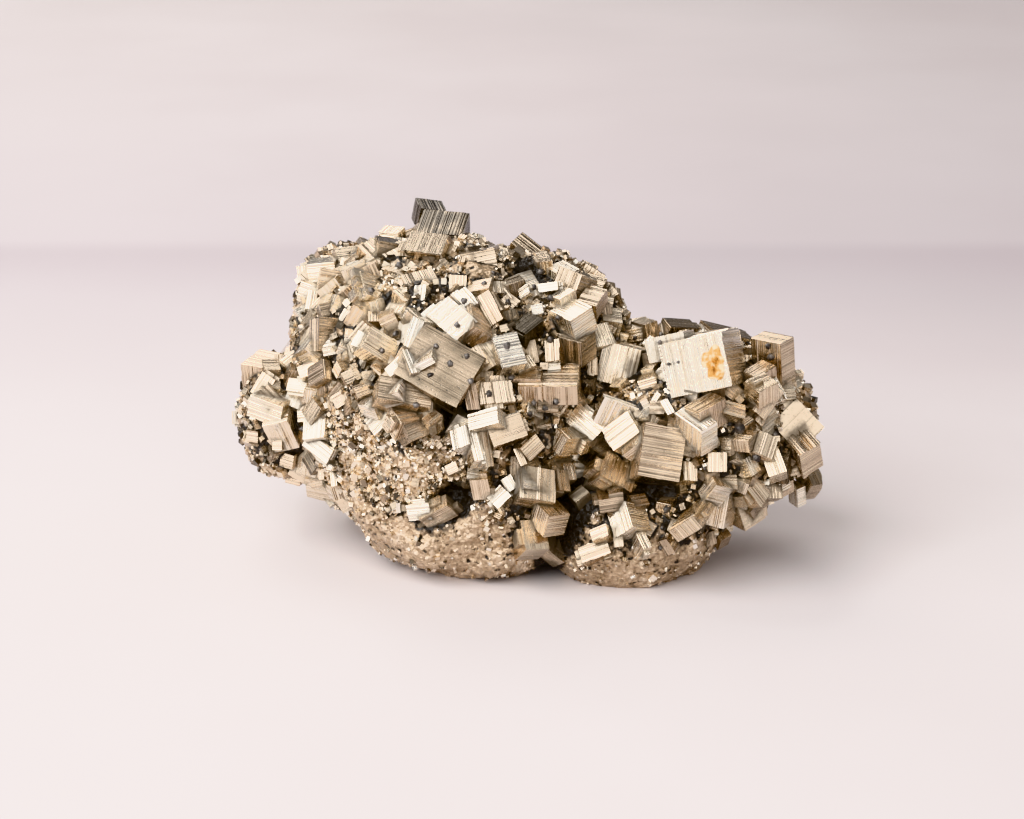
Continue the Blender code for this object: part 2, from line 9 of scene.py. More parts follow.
import bpy
import numpy as np
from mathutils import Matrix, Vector


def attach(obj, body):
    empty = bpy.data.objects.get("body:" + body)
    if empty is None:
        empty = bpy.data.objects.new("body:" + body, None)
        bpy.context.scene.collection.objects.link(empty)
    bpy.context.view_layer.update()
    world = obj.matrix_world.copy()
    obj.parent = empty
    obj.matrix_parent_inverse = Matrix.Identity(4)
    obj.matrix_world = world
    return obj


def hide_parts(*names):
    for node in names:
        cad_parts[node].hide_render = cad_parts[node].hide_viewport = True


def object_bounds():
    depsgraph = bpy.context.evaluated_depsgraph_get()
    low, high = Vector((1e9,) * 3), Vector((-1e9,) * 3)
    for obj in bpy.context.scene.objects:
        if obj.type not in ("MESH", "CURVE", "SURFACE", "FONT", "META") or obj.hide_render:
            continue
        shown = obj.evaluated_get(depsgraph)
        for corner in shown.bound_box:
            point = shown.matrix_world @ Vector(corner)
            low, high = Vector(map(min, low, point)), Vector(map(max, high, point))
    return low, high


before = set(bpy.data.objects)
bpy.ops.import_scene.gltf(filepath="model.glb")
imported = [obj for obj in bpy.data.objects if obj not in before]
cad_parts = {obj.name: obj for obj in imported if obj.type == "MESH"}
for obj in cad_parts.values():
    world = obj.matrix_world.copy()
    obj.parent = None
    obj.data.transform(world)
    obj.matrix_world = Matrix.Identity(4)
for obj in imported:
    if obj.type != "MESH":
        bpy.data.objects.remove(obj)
cad_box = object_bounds()


# Matrix: the granular body that the crystals grew from, seen only in the gaps and underneath. It is massive
# pyrite, dull and with painted shade where it is sheltered, and it is worn level where the specimen rests.

MM = 0.001
LUMPS = [  # ellipsoids, as centre and radii
    ((-10.0, 0.0, 20.0), (22.5, 21.0, 20.0)),
    ((23.5, -6.0, 18.3), (16.0, 14.0, 13.0)),
    ((-35.0, 2.0, 16.8), (6.0, 9.0, 8.3)),
    ((-24.0, 12.0, 29.5), (9.0, 12.0, 10.0)),
    ((-11.0, 4.0, 28.0), (21.0, 15.0, 13.0)),
    ((-12.5, 15.0, 33.0), (9.0, 8.0, 8.0)),
    ((0.0, 0.0, 30.0), (13.5, 12.0, 10.5)),
    ((-6.0, -12.5, 9.0), (18.0, 9.5, 10.0)),
    ((13.7, -14.0, 6.0), (12.0, 9.5, 8.5)),
    ((-5.0, 1.0, 8.0), (21.0, 17.0, 10.0)),
]
HEART = np.array((-5.0, 0.0, 18.0))  # a point well inside, from which the matrix is drawn outwards
BLEND_POWER = 16.0  # how sharply the lumps meet
SKIRT = 4.0  # how sharply a lump's side falls away beyond its edge
LEDGE_HEIGHT = 0.32  # of each wave of ledges over the matrix
LEDGES = [  # each wave: how it crosses the directions from the heart, and where it starts
    ((13.0, 5.0, 3.0), 0.0),
    ((-6.0, 11.0, 9.0), 1.3),
    ((4.0, -9.0, 12.0), 2.1),
    ((17.0, 12.0, -7.0), 0.7),
]
HOLLOWS = [  # middle in the picture, in pixels, then radius and depth
    ((574, 512), 4.6, 6.0),
    ((449, 409), 2.6, 3.6),
    ((455, 501), 2.6, 3.4),
    ((545, 570), 2.2, 2.4),
    ((641, 367), 2.6, 3.0),
    ((656, 494), 2.6, 2.4),
    ((529, 274), 2.2, 2.4),
    ((392, 303), 1.8, 1.8),
    ((700, 432), 2.0, 2.0),
]
# painted shade in the hollows: the three rows added here paint the cleft on up and down as shade only
SHADED_HOLLOWS = HOLLOWS + [  # the cleft below the middle goes on up and down from its widest part
    ((586, 488), 2.6, 5.0),
    ((562, 540), 2.4, 5.0),
    ((548, 558), 2.2, 4.0),
]
# the next number is how far in front of the matrix the hollows' painted shade fades away
HOLLOW_LIP = 1.5  # how far in front of the matrix a hollow's darkness fades away
BASE_DEPTH = 0.6  # how far the matrix would reach below the resting face
ORIGIN = (-0.645, 0.19, 0.0)  # the middle of the specimen's footprint, in the frame of these sizes
PICTURE_SIZE = np.array((1024.0, 819.0))
FOCAL_PIXELS = 2844.0
VIEW_DISTANCE = 403.0
VIEW_DOWN = math.radians(18.0)
VIEW_TARGET = np.array((-2.3, 0.0, 19.0))
RIGHT = np.array((1.0, 0.0, 0.0))  # of the photograph's view
FORWARD = np.array((0.0, math.cos(VIEW_DOWN), -math.sin(VIEW_DOWN)))
UP = np.cross(RIGHT, FORWARD)
EYE = VIEW_TARGET - VIEW_DISTANCE * FORWARD
MATRIX_GRID = (240, 340)  # rows from end to end, and columns round
GRAINS = [(3.2, 0.75), (1.3, 0.50)]  # size of each kind of blocky grain, and how far it stands out
GRAIN_SEED = 5
BLOCK_KEYS = (73856093, 19349663, 83492791)  # these turn a block's place into a number of its own
BLOCK_WAVES = (0.0129898, 0.0782330, 0.0377190)  # and these turn that into three shares of a block
BLOCK_GAIN = 43758.5453


def unit(vector):
    """The vector at length one."""
    vector = np.asarray(vector, float)
    return vector / np.linalg.norm(vector, axis=-1, keepdims=True)


def sight_line(pixel):
    """The unit direction from the eye through a pixel of the picture."""
    off = np.asarray(pixel, float) - PICTURE_SIZE / 2
    return unit(FORWARD * FOCAL_PIXELS + RIGHT * off[0] - UP * off[1])


def reach_matrix(way):
    """How far from the eye the nearest lump is, or the nearest pass to one where the way misses all."""
    best_hit, best_pass = None, (np.inf, 0.0)
    for centre, radii in LUMPS:
        o = (EYE - centre) / radii
        d = way / radii
        a, b = d @ d, d @ o
        gap = b * b - a * (o @ o - 1.0)
        if gap > 0:
            hit = (-b - math.sqrt(gap)) / a
            best_hit = hit if best_hit is None else min(best_hit, hit)
        best_pass = min(best_pass, (o @ o - b * b / a, -b / a))
    return best_pass[1] if best_hit is None else best_hit


def lump_reach(ways):
    """How far each way leads from the heart to each lump's far side: the larger root of the ellipsoid's
    quadratic. Beyond a lump's edge the reach falls away fast but smoothly."""
    reach = np.zeros((len(LUMPS), len(ways)))
    for row, (centre, radii) in enumerate(LUMPS):
        o = (HEART - centre) / radii
        d = ways / radii
        a = (d * d).sum(axis=1)
        b = d @ o
        gap = b * b / a - (o @ o - 1.0)
        side = -b / a
        if o @ o > 1.0:
            side = np.maximum(side, 0.0) * np.exp(SKIRT * np.minimum(gap, 0.0))
        reach[row] = side + np.sqrt(np.maximum(gap, 0.0) / a)
    return reach


def matrix_reach(ways):
    """How far the matrix's surface is from its heart: the lumps' reaches joined by a high power mean, plus
    crossed sine waves for ledges, less a bell-shaped dip at each hollow."""
    reach = (lump_reach(ways) ** BLEND_POWER).sum(axis=0) ** (1.0 / BLEND_POWER)
    for crossing, start in LEDGES:
        reach = reach + LEDGE_HEIGHT * np.sin(ways @ crossing + start)
    for pixel, radius, depth in HOLLOWS:
        way = sight_line(pixel)
        away = np.linalg.norm(HEART + ways * reach[:, None] - (EYE + way * reach_matrix(way)), axis=1)
        reach = reach - depth * np.exp(-((away / radius) ** 2))
    return reach


def hollow_shade(points):
    """The painted shade that the hollows give each point: a bell round the middle of the deepest one that it
    is in, as seen along its sight line, which fades away in front of the matrix."""
    dark = np.zeros(len(points))
    for pixel, radius, depth in SHADED_HOLLOWS:
        way = sight_line(pixel)
        off = points - (EYE + way * reach_matrix(way))
        behind = off @ way
        aside = np.linalg.norm(off - behind[:, None] * way, axis=1) / radius
        sunk = np.clip((behind + HOLLOW_LIP) / HOLLOW_LIP, 0.0, 1.0) * (behind < depth + radius)
        dark = np.maximum(dark, np.exp(-(aside ** 4)) * sunk)
    return dark


def matrix_points(ways):
    """Points of the matrix's surface in these directions from its heart, level underneath."""
    to_base = (HEART[2] + BASE_DEPTH) / np.maximum(-ways[:, 2], 1e-6)
    return HEART + ways * np.minimum(matrix_reach(ways), to_base)[:, None]


def random_turns(rng, count):
    """Sets of three square axes, turned at random."""
    return np.linalg.qr(rng.normal(size=(count, 3, 3)))[0]


def blocks(points, size, rng):
    """How far each point is from the middle of its block, as a share of the block: space is cut in cells,
    each cell has a middle set at random, and distance is measured along the largest of three turned axes,
    so the blocks have flat sides."""
    turned = points @ random_turns(rng, 1)[0] / size
    home = np.floor(turned).astype(int)
    near = np.full(len(points), np.inf)
    for step in np.ndindex(3, 3, 3):
        cell = home + np.array(step) - 1
        key = (cell * BLOCK_KEYS).sum(axis=1, keepdims=True)
        shifts = np.sin(key * BLOCK_WAVES) * BLOCK_GAIN % 1.0
        near = np.minimum(near, np.abs(turned - cell - shifts).max(axis=1))
    return near


def new_piece(name, points, faces, lines=None, rounded=False, **shades):
    """A mesh of these points, in millimetres, and faces, as rows of corner numbers. It rides on the root
    body, and its faces are shaded flat unless it is rounded. lines holds a place for every corner of every
    face in the map that growth lines follow, and each of shades holds a number for every point."""
    points = (np.asarray(points) - ORIGIN) * MM
    faces = np.asarray(faces)
    mesh = bpy.data.meshes.new(name)
    mesh.vertices.add(len(points))
    mesh.vertices.foreach_set("co", points.astype(np.float32).ravel())
    mesh.loops.add(faces.size)
    mesh.loops.foreach_set("vertex_index", faces.astype(np.int32).ravel())
    mesh.polygons.add(len(faces))
    mesh.polygons.foreach_set("loop_start", np.arange(0, faces.size, faces.shape[1], dtype=np.int32))
    mesh.update(calc_edges=True)
    mesh.polygons.foreach_set("use_smooth", np.full(len(faces), rounded))
    if lines is not None:
        mesh.uv_layers.new(name="lines").data.foreach_set("uv", np.asarray(lines, np.float32).ravel())
    for label, numbers in shades.items():
        layer = mesh.attributes.new(label, "FLOAT", "POINT")
        layer.data.foreach_set("value", np.asarray(numbers, np.float32).ravel())
    mesh.validate()
    piece = bpy.data.objects.new(name, mesh)
    bpy.context.scene.collection.objects.link(piece)
    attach(piece, "root")
    return piece


class Wire:
    """A socket in a material's node tree. Arithmetic with it adds Math nodes, and node() adds any other."""

    def __init__(self, tree, socket=None):
        self.tree = tree
        self.socket = socket

    def node(self, kind, inputs=(), output=0, **settings):
        """A new node: its settings come first, then the numbers, colours or links of its sockets."""
        made = self.tree.nodes.new(kind)
        for label, value in settings.items():
            setattr(made, label, value)
        for label, value in dict(inputs).items():
            if isinstance(value, Wire):
                self.tree.links.new(value.socket, made.inputs[label])
            else:
                made.inputs[label].default_value = value
        return Wire(self.tree, made.outputs[output])

    def ramp(self, *stops):
        """This value through a ramp of (place, colour) stops."""
        made = self.tree.nodes.new("ShaderNodeValToRGB")
        self.tree.links.new(self.socket, made.inputs["Fac"])
        bar = made.color_ramp.elements
        while len(bar) < len(stops):
            bar.new(0.5)
        for place, (position, colour) in zip(bar, stops):
            place.position = position
            place.color = (*colour, 1.0)
        return Wire(self.tree, made.outputs["Color"])

    def between(self, low, high):
        """0 where this value is low, 1 where it is high, and an even slope from one to the other."""
        return self.node("ShaderNodeMapRange", {"Value": self, "From Min": low, "From Max": high})

    def mixed(self, first, second):
        """A colour that goes from the first to the second as this value goes from 0 to 1."""
        inputs = {0: self, 6: first, 7: second}
        return self.node("ShaderNodeMix", inputs, 2, data_type="RGBA")

    def part(self, axis):
        """One of this vector's three parts."""
        return self.node("ShaderNodeSeparateXYZ", {"Vector": self}, axis)

    def noise(self, scale, detail):
        """Cloudy noise at this place."""
        return self.node("ShaderNodeTexNoise", {"Vector": self, "Scale": scale, "Detail": detail})

    def bump(self, distance, strength=1.0):
        """The surface's normal, bumped as if this value were a height."""
        return self.node("ShaderNodeBump", {"Height": self, "Distance": distance, "Strength": strength})

    def attribute(self, label):
        """The number that a piece's points hold under this label."""
        return self.node("ShaderNodeAttribute", output=2, attribute_name=label)

    def vector(self, operation, *values):
        return self.node("ShaderNodeVectorMath", dict(enumerate(values)), operation=operation)

    def number(self, operation, *values):
        return self.node("ShaderNodeMath", dict(enumerate(values)), operation=operation)

    def __add__(self, other):
        return self.number("ADD", self, other)

    def __sub__(self, other):
        return self.number("SUBTRACT", self, other)

    def __rsub__(self, other):
        return self.number("SUBTRACT", other, self)

    def __mul__(self, other):
        return self.number("MULTIPLY", self, other)

    __radd__ = __add__
    __rmul__ = __mul__


def new_material(name):
    """An empty material, its shader node, a wire to build with, and the place of each point of a piece."""
    material = bpy.data.materials.new(name)
    material.use_nodes = True
    wire = Wire(material.node_tree)
    place = wire.node("ShaderNodeTexCoord", output=3)
    return material, material.node_tree.nodes["Principled BSDF"], wire, place


def feed(shader, **links):
    """Links values and colours to the shader's sockets. An underscore stands for a space."""
    for label, value in links.items():
        value.tree.links.new(value.socket, shader.inputs[label.replace("_", " ")])


def granular_pyrite():
    """Brassy grains too small to tell apart: every cell of a fine cellular pattern tilts the surface its
    own way, so it glitters. It is brown in its pits, and painted shade darkens it between the grains and
    makes it nearly black in the hollows and at the feet of the crystals."""
    material, shader, wire, place = new_material("granular_pyrite")
    cells = wire.node("ShaderNodeTexVoronoi", {"Vector": place, "Scale": 2600.0}, 1)
    rough = place.noise(1500.0, 4.0)
    patch = place.noise(170.0, 3.0)
    pits = place.noise(900.0, 3.0).between(0.58, 0.70)
    # painted shade: the tone is darker where the grains are low, and far darker in the hollows and at the
    # feet of the crystals
    tone = wire.attribute("height") * 0.25 + rough * 0.7 + patch * 0.5 - 0.28
    tone = tone - pits * 0.45 - wire.attribute("dark") * 0.9
    tilt = wire.vector("SUBTRACT", cells, (0.5, 0.5, 0.5))
    facing = wire.vector("MULTIPLY_ADD", tilt, (0.8, 0.8, 0.8), (rough + pits * -0.4).bump(0.0004))
    feed(
        shader,
        Base_Color=tone.ramp(
            (0.0, (0.015, 0.011, 0.007)), (0.22, (0.40, 0.29, 0.19)), (0.4, (0.62, 0.48, 0.34)),
            (0.6, (0.80, 0.67, 0.52)), (1.0, (0.93, 0.87, 0.78)),
        ),
        Roughness=0.50 - rough * 0.3,
        Metallic=tone.between(0.0, 0.4) * 0.8 + 0.15,
        Normal=wire.vector("NORMALIZE", facing),
    )
    return material


def ball_net(rows, columns):
    """A ball about the X axis: its directions on a grid of rows from end to end and columns round it, then
    its two poles, and the triangles between them, facing outwards."""
    along = math.pi * np.arange(1, rows) / rows
    turn = 2.0 * math.pi * np.arange(columns) / columns
    along, turn = (grid.ravel() for grid in np.meshgrid(along, turn, indexing="ij"))
    ways = np.stack([np.cos(along), np.sin(along) * np.cos(turn), np.sin(along) * np.sin(turn)], axis=1)
    ways = np.concatenate([ways, [[1.0, 0.0, 0.0], [-1.0, 0.0, 0.0]]])
    row, ring = np.meshgrid(np.arange(rows - 2), np.arange(columns), indexing="ij")
    first = (row * columns + ring).ravel()
    beside = (row * columns + (ring + 1) % columns).ravel()
    ring, after = first[:columns], beside[:columns]
    last = (rows - 2) * columns
    return ways, np.concatenate([
        np.stack([first, first + columns, beside + columns], axis=1),
        np.stack([first, beside + columns, beside], axis=1),
        np.stack([np.full(columns, len(ways) - 2), ring, after], axis=1),
        np.stack([last + after, last + ring, np.full(columns, len(ways) - 1)], axis=1),
    ])


def matrix_piece():
    """The matrix: a ball's directions from the heart, each drawn out to the matrix's surface and then moved
    in and out by blocky grains of two sizes."""
    ways, faces = ball_net(*MATRIX_GRID)
    reach = matrix_reach(ways)
    points = HEART + ways * reach[:, None]
    rng = np.random.default_rng(GRAIN_SEED)
    height = np.zeros(len(points))
    for size, stands in GRAINS:
        high = 0.5 - blocks(points, size, rng)
        reach = reach + stands * high
        height = height + high
    points = HEART + ways * reach[:, None]
    points[:, 2] = np.maximum(points[:, 2], 0.0)
    # the hollows' painted shade; the painted shade at the crystals' feet is added once they are grown
    return new_piece("matrix", points, faces, height=height, dark=hollow_shade(points))


matrix = matrix_piece()
matrix.data.materials.append(granular_pyrite())
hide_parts("pyrite_cluster")


# Right lobe: the crystals of the lobe that hangs clear of the surface, with the largest and brightest cube.
# Each is a pyrite cube grown into its neighbours, and every face is ruled by growth lines that run square
# to those of the faces beside it. Each is described by its nearest face in the photograph.

# One row for each crystal. The first three pairs are corners of its nearest face, in pixels: a corner, its
# neighbour along the growth lines, and its other neighbour. Then the rightward and upward parts of that
# face's normal, the depth behind it, how far it stands proud, its tone from dark (0) to bright (1), and
# how strong its growth lines are. The tone is partly tarnish and partly painted light: faces that catch
# the light get a bright tone as a painted reflection, and faces that don't a dark one as painted shade.
RIGHT_LOBE = [
    ((655, 343), (667, 400), (721, 329), (-0.32, 0.10), 9.0, 4.5, 0.90, 1.0),
    ((750, 338), (752, 384), (780, 344), (-0.20, -0.05), 3.5, 1.6, 0.45, 0.8),
    ((742, 371), (762, 359), (757, 378), (0.10, 0.50), 3.0, 2.5, 0.42, 0.7),
    ((765, 421), (785, 392), (752, 409), (0.25, 0.00), 4.0, 2.0, 0.45, 1.0),
    ((743, 381), (759, 393), (743, 398), (-0.20, 0.10), 3.5, 2.0, 0.6, 1.0),
    ((779, 434), (799, 457), (801, 420), (-0.30, 0.28), 6.0, 3.0, 0.5, 1.6),
    ((797, 398), (771, 424), (825, 427), (0.10, 0.25), 6.0, 1.5, 0.5, 0.25),
    ((779, 384), (793, 383), (783, 400), (0.10, 0.30), 3.0, 1.0, 0.55, 1.0),
    ((760, 451), (769, 477), (778, 445), (-0.22, 0.20), 4.0, 2.5, 0.7, 1.0),
    ((760, 429), (753, 451), (779, 438), (0.15, 0.20), 3.5, 1.8, 0.55, 1.0),
    ((731, 439), (733, 452), (748, 441), (-0.15, -0.10), 3.0, 1.5, 0.55, 1.0),
    ((708, 452), (708, 472), (727, 452), (-0.05, 0.05), 4.0, 2.0, 0.55, 1.0),
    ((718, 436), (694, 449), (721, 445), (0.05, -0.25), 3.5, 1.5, 0.55, 1.0),
    ((674, 412), (702, 432), (691, 402), (-0.30, 0.20), 4.5, 3.0, 0.95, 1.0),
    ((683, 406), (710, 391), (699, 413), (0.10, 0.45), 4.0, 2.6, 0.42, 1.0),
    ((724, 399), (746, 405), (724, 413), (0.10, -0.10), 3.0, 1.5, 0.55, 1.0),
    ((690, 429), (645, 421), (682, 483), (0.06, 0.04), 7.0, 3.0, 0.36, 1.0),
    ((683, 461), (684, 480), (697, 462), (0.10, -0.05), 3.0, 1.5, 0.55, 1.0),
    ((697, 491), (711, 473), (703, 503), (-0.30, 0.05), 3.0, 2.2, 0.8, 1.0),
    ((714, 474), (737, 474), (715, 490), (0.05, 0.05), 3.5, 1.5, 0.5, 1.0),
    ((700, 500), (720, 507), (696, 519), (0.05, 0.00), 4.0, 2.0, 0.55, 1.0),
    ((667, 532), (692, 517), (682, 508), (-0.05, 0.55), 2.2, 3.2, 0.6, 1.2),
    ((607, 450), (599, 474), (640, 469), (0.05, 0.18), 5.0, 3.5, 0.55, 1.0),
    ((598, 500), (624, 496), (600, 514), (0.00, -0.35), 6.0, 2.2, 0.3, 0.8),
    ((624, 500), (632, 527), (606, 513), (-0.10, -0.10), 4.0, 1.5, 0.8, 1.0),
    ((601, 430), (628, 410), (613, 451), (-0.20, 0.15), 5.0, 3.0, 0.8, 1.0),
    ((622, 456), (643, 441), (631, 462), (-0.25, 0.05), 3.0, 2.8, 0.8, 1.0),
    ((588, 456), (590, 470), (603, 452), (-0.20, 0.10), 3.5, 1.8, 0.55, 1.0),
    ((589, 530), (606, 523), (592, 542), (0.00, 0.10), 4.0, 1.5, 0.55, 1.0),
    ((577, 547), (606, 537), (582, 563), (0.00, 0.10), 5.0, 1.0, 0.55, 1.0),
    ((636, 532), (644, 549), (645, 530), (-0.25, 0.10), 3.0, 1.8, 0.8, 1.0),
    ((613, 527), (615, 547), (622, 526), (0.10, 0.10), 3.0, 1.2, 0.5, 1.0),
    ((655, 503), (655, 517), (670, 506), (0.05, -0.15), 4.0, 0.4, 0.5, 1.0),
    ((713, 530), (721, 541), (724, 524), (0.10, 0.10), 3.0, 1.2, 0.4, 1.0),
    ((704, 534), (707, 548), (715, 530), (0.25, -0.10), 3.0, 1.0, 0.3, 1.4),
    ((747, 490), (761, 508), (758, 474), (0.10, 0.10), 4.0, 2.2, 0.55, 1.0),
    ((805, 470), (812, 486), (819, 468), (0.20, 0.10), 4.0, 1.0, 0.42, 1.0),
    ((788, 484), (797, 490), (797, 480), (-0.35, 0.20), 3.0, 1.0, 0.95, 1.0),
    ((616, 331), (644, 326), (620, 346), (0.00, -0.25), 3.6, 2.5, 0.65, 1.0),
    ((645, 325), (648, 343), (658, 320), (0.20, 0.10), 3.5, 2.0, 0.55, 1.0),
    ((662, 316), (690, 318), (671, 327), (0.05, 0.62), 3.0, 2.0, 0.22, 1.0),
    ((660, 322), (662, 337), (672, 324), (0.00, 0.10), 3.0, 2.0, 0.55, 1.0),
    ((700, 319), (742, 329), (716, 331), (0.10, 0.60), 4.0, 0.0, 0.3, 1.0),
    ((604, 340), (594, 381), (641, 350), (-0.22, 0.05), 7.0, 4.0, 0.8, 1.0),
    ((651, 400), (657, 391), (655, 404), (-0.30, 0.10), 2.5, 1.5, 0.95, 1.0),
    ((660, 401), (668, 415), (667, 398), (-0.35, 0.10), 2.5, 2.0, 0.95, 1.0),
    ((603, 392), (638, 404), (605, 397), (0.00, -0.30), 4.0, 2.6, 0.95, 1.0),
    ((603, 398), (603, 413), (620, 402), (0.05, 0.00), 3.0, 0.8, 0.35, 1.0),
    ((586, 382), (584, 398), (597, 380), (0.05, 0.00), 3.0, 1.2, 0.55, 1.0),
    ((578, 356), (578, 376), (598, 356), (0.12, 0.00), 4.0, 2.0, 0.36, 1.0),
]
STEEPEST_TILT = 4.0  # most that an edge leads towards the viewer, for each unit that is seen of it
TILT_TRIES = 400
CELLS = [(7.5, 30), (5.0, 18), (3.4, 8), (2.4, 5), (0.0, 3)]  # least longest edge, and strips across a face
STRIP_SPREAD = 0.75  # how uneven the strips' widths are
LINE_DEPTH = 0.011  # of growth lines, as a share of the crystal's longest edge
TERRACE = 0.012  # height of one growth terrace, as a share of that edge
TERRACES = 5  # most terraces on one face
WORN_EDGE = 0.007  # how far a face drops at its two edges along the lines, as a share of that edge
WORN_POWER = 8  # how closely that drop stays near the edges
EDGE_POWER = 8  # how closely a face's relief at an edge stays near that edge on the next face
MOST_DROP = 0.12  # deepest that a face's relief goes, as a share of the half size under it
MAP_SPREAD = 100.0  # each face starts at random within this length of the lines' map
# the next two numbers set painted shade on the crystals: how far from a neighbour it reaches, and how dark a
# hollow makes it
SHADE_REACH = 0.50  # how far from a neighbour a face is still dulled by it
HOLLOW_SHADE = 1.4  # shelter in the middle of a hollow
# beyond the next distance neighbours give no painted shade and are not searched
NEAR = 2.0  # shelter further away than this isn't counted
RIGHT_SEED = 21

box_low, box_high = (np.asarray(corner) / MM + ORIGIN for corner in cad_box)


def tilts(u, v, looks):
    """The parts towards the viewer of two edges seen as u and v: those that make them square to each
    other and come nearest to a face that looks that way."""
    nx, ny = looks
    nz = math.sqrt(1.0 - nx * nx - ny * ny)
    wanted = np.array([-(nx * u[0] + ny * u[1]) / nz, -(nx * v[0] + ny * v[1]) / nz])
    product = -float(np.dot(u, v))
    longest = STEEPEST_TILT * max(np.linalg.norm(u), np.linalg.norm(v))
    spread = np.geomspace(longest * 1e-4, longest, TILT_TRIES)
    first = np.concatenate([spread, -spread])
    pairs = np.stack([first, product / first], axis=1)
    return pairs[((pairs - wanted) ** 2).sum(axis=1).argmin()]


def seen_crystal(corner, along, across, looks, deep, proud):
    """A box from its nearest face in the picture: its centre, its three unit axes and its half sizes."""
    way = sight_line((np.asarray(along, float) + across) / 2)
    distance = reach_matrix(way) - proud
    local_right = unit(np.cross(way, UP))
    local_up = np.cross(local_right, way)
    scale = distance * (way @ FORWARD) / FOCAL_PIXELS
    u = (np.asarray(along, float) - corner) * (scale, -scale)
    v = (np.asarray(across, float) - corner) * (scale, -scale)
    nearer_u, nearer_v = tilts(u, v, looks)
    edge_u = u[0] * local_right + u[1] * local_up - nearer_u * way
    edge_v = v[0] * local_right + v[1] * local_up - nearer_v * way
    normal = unit(np.cross(edge_u, edge_v))
    if normal @ way > 0:
        normal = -normal
    axes = np.array([unit(edge_u), unit(np.cross(normal, edge_u)), normal])
    half = np.array([np.linalg.norm(edge_u), np.linalg.norm(edge_v), deep]) / 2
    centre = EYE + way * distance - normal * deep / 2
    return centre, axes, half


def cube_net(cells):
    """A cube's surface with every face cut in cells by cells: its points as whole numbers from 0 to cells
    on each axis, shared along the edges, its quads facing outwards, and the axis each quad's face is on."""
    steps = np.arange(cells)
    i, j = (grid.ravel() for grid in np.meshgrid(steps, steps, indexing="ij"))
    round_quad = np.array([(0, 0), (1, 0), (1, 1), (0, 1)])
    corners_of = []
    for axis in range(3):
        for side in (0, cells):
            order = round_quad if side else round_quad[::-1]
            corner = np.empty((len(i), 4, 3), int)
            corner[..., axis] = side
            corner[..., (axis + 1) % 3] = i[:, None] + order[:, 0]
            corner[..., (axis + 2) % 3] = j[:, None] + order[:, 1]
            corners_of.append(corner)
    corner = np.concatenate(corners_of)
    points, quads = np.unique(corner.reshape(-1, 3), axis=0, return_inverse=True)
    return points, quads.reshape(-1, 4), np.repeat(np.arange(3), 2 * cells * cells)


def growth_relief(cells, longest, strength, rng):
    """How far each of a face's strips lies below its flat, for the three axes and their two sides. It is
    the sum of a random height for each strip's edge, a staircase of a few terraces, and a drop at the
    ends that grows as a high power of the distance from the middle."""
    fine = rng.random((3, 2, cells + 1)) * rng.random((3, 2, 1)) * 2.0
    steps = rng.integers(0, TERRACES + 1, (3, 2, 1)) / (cells + 1) > rng.random((3, 2, cells + 1))
    stairs = np.cumsum(np.where(steps, rng.normal(size=(3, 2, cells + 1)), 0.0), axis=2)
    stairs = stairs - stairs.min(axis=2, keepdims=True)
    ends = np.abs(np.linspace(-1.0, 1.0, cells + 1)) ** WORN_POWER
    return longest * (strength * (LINE_DEPTH * fine + TERRACE * stairs) + WORN_EDGE * ends)


def crystal_mesh(crystal, strength, rng, fineness):
    """A box with growth lines: its points, its quads, and for every corner of each quad its place along
    and across the lines. On the faces of one axis the lines run along the next axis round, so they turn
    at every edge. A point's place on an axis is its strip's place times the half size, less the face's
    relief there, which fades away from that face as a high power of the strip's place."""
    centre, axes, half = crystal
    longest = 2.0 * half.max()
    cells = next(count for least, count in fineness if longest >= least)
    net, quads, face_axis = cube_net(cells)
    widths = 1.0 + STRIP_SPREAD * rng.uniform(-1.0, 1.0, (3, cells))
    places = np.concatenate([np.zeros((3, 1)), np.cumsum(widths, axis=1)], axis=1)
    places = 2.0 * places / places[:, -1:] - 1.0
    relief = growth_relief(cells, longest, strength, rng)
    local = np.empty(net.shape)
    for axis in range(3):
        place = places[axis][net[:, axis]]
        across = net[:, (axis + 2) % 3]
        side = (place > 0).astype(int)
        drop = relief[axis, side, across] * np.abs(place) ** EDGE_POWER
        local[:, axis] = place * half[axis] - np.sign(place) * np.minimum(drop, MOST_DROP * half[axis])
    offset = rng.uniform(0.0, MAP_SPREAD, (3, 2))
    corner = local[quads]
    rows = np.arange(len(quads))
    lines = np.stack([
        corner[rows, :, (face_axis + 1) % 3] + offset[face_axis, 0][:, None],
        corner[rows, :, (face_axis + 2) % 3] + offset[face_axis, 1][:, None],
    ], axis=2)
    if np.linalg.det(axes) < 0:
        quads, lines = quads[:, ::-1], lines[:, ::-1]
    return centre + local @ axes, quads, lines


def above_crystals(points, crystals):
    """How far each point is outside the nearest of these boxes, in the box's own axes."""
    least = np.full(len(points), np.inf)
    middle = (points.min(axis=0) + points.max(axis=0)) / 2
    reach = np.linalg.norm(points - middle, axis=1).max()
    for centre, axes, half in crystals:
        size = np.linalg.norm(half) + NEAR
        if np.linalg.norm(centre - middle) > size + reach:
            continue
        near = np.flatnonzero(((points - centre) ** 2).sum(axis=1) < size * size)
        over = np.abs((points[near] - centre) @ axes.T) - half
        outside = np.linalg.norm(np.maximum(over, 0.0), axis=1) + np.minimum(over.max(axis=1), 0.0)
        least[near] = np.minimum(least[near], outside)
    return least


def above_matrix(points):
    """How far each point is outside the matrix, along the direction from its heart."""
    away = points - HEART
    return np.linalg.norm(away, axis=1) - matrix_reach(unit(away))


def shelter_at(points, gaps, share=1.0):
    """The painted shade at points, from their gaps to crystals: a share of 1 where a crystal or the matrix
    meets them, falling away with the distance as a power of e, or what a hollow gives where that is more."""
    gap = np.minimum(gaps, above_matrix(points))
    return np.maximum(share * np.exp(-np.maximum(gap, 0.0) / SHADE_REACH), HOLLOW_SHADE * hollow_shade(points))


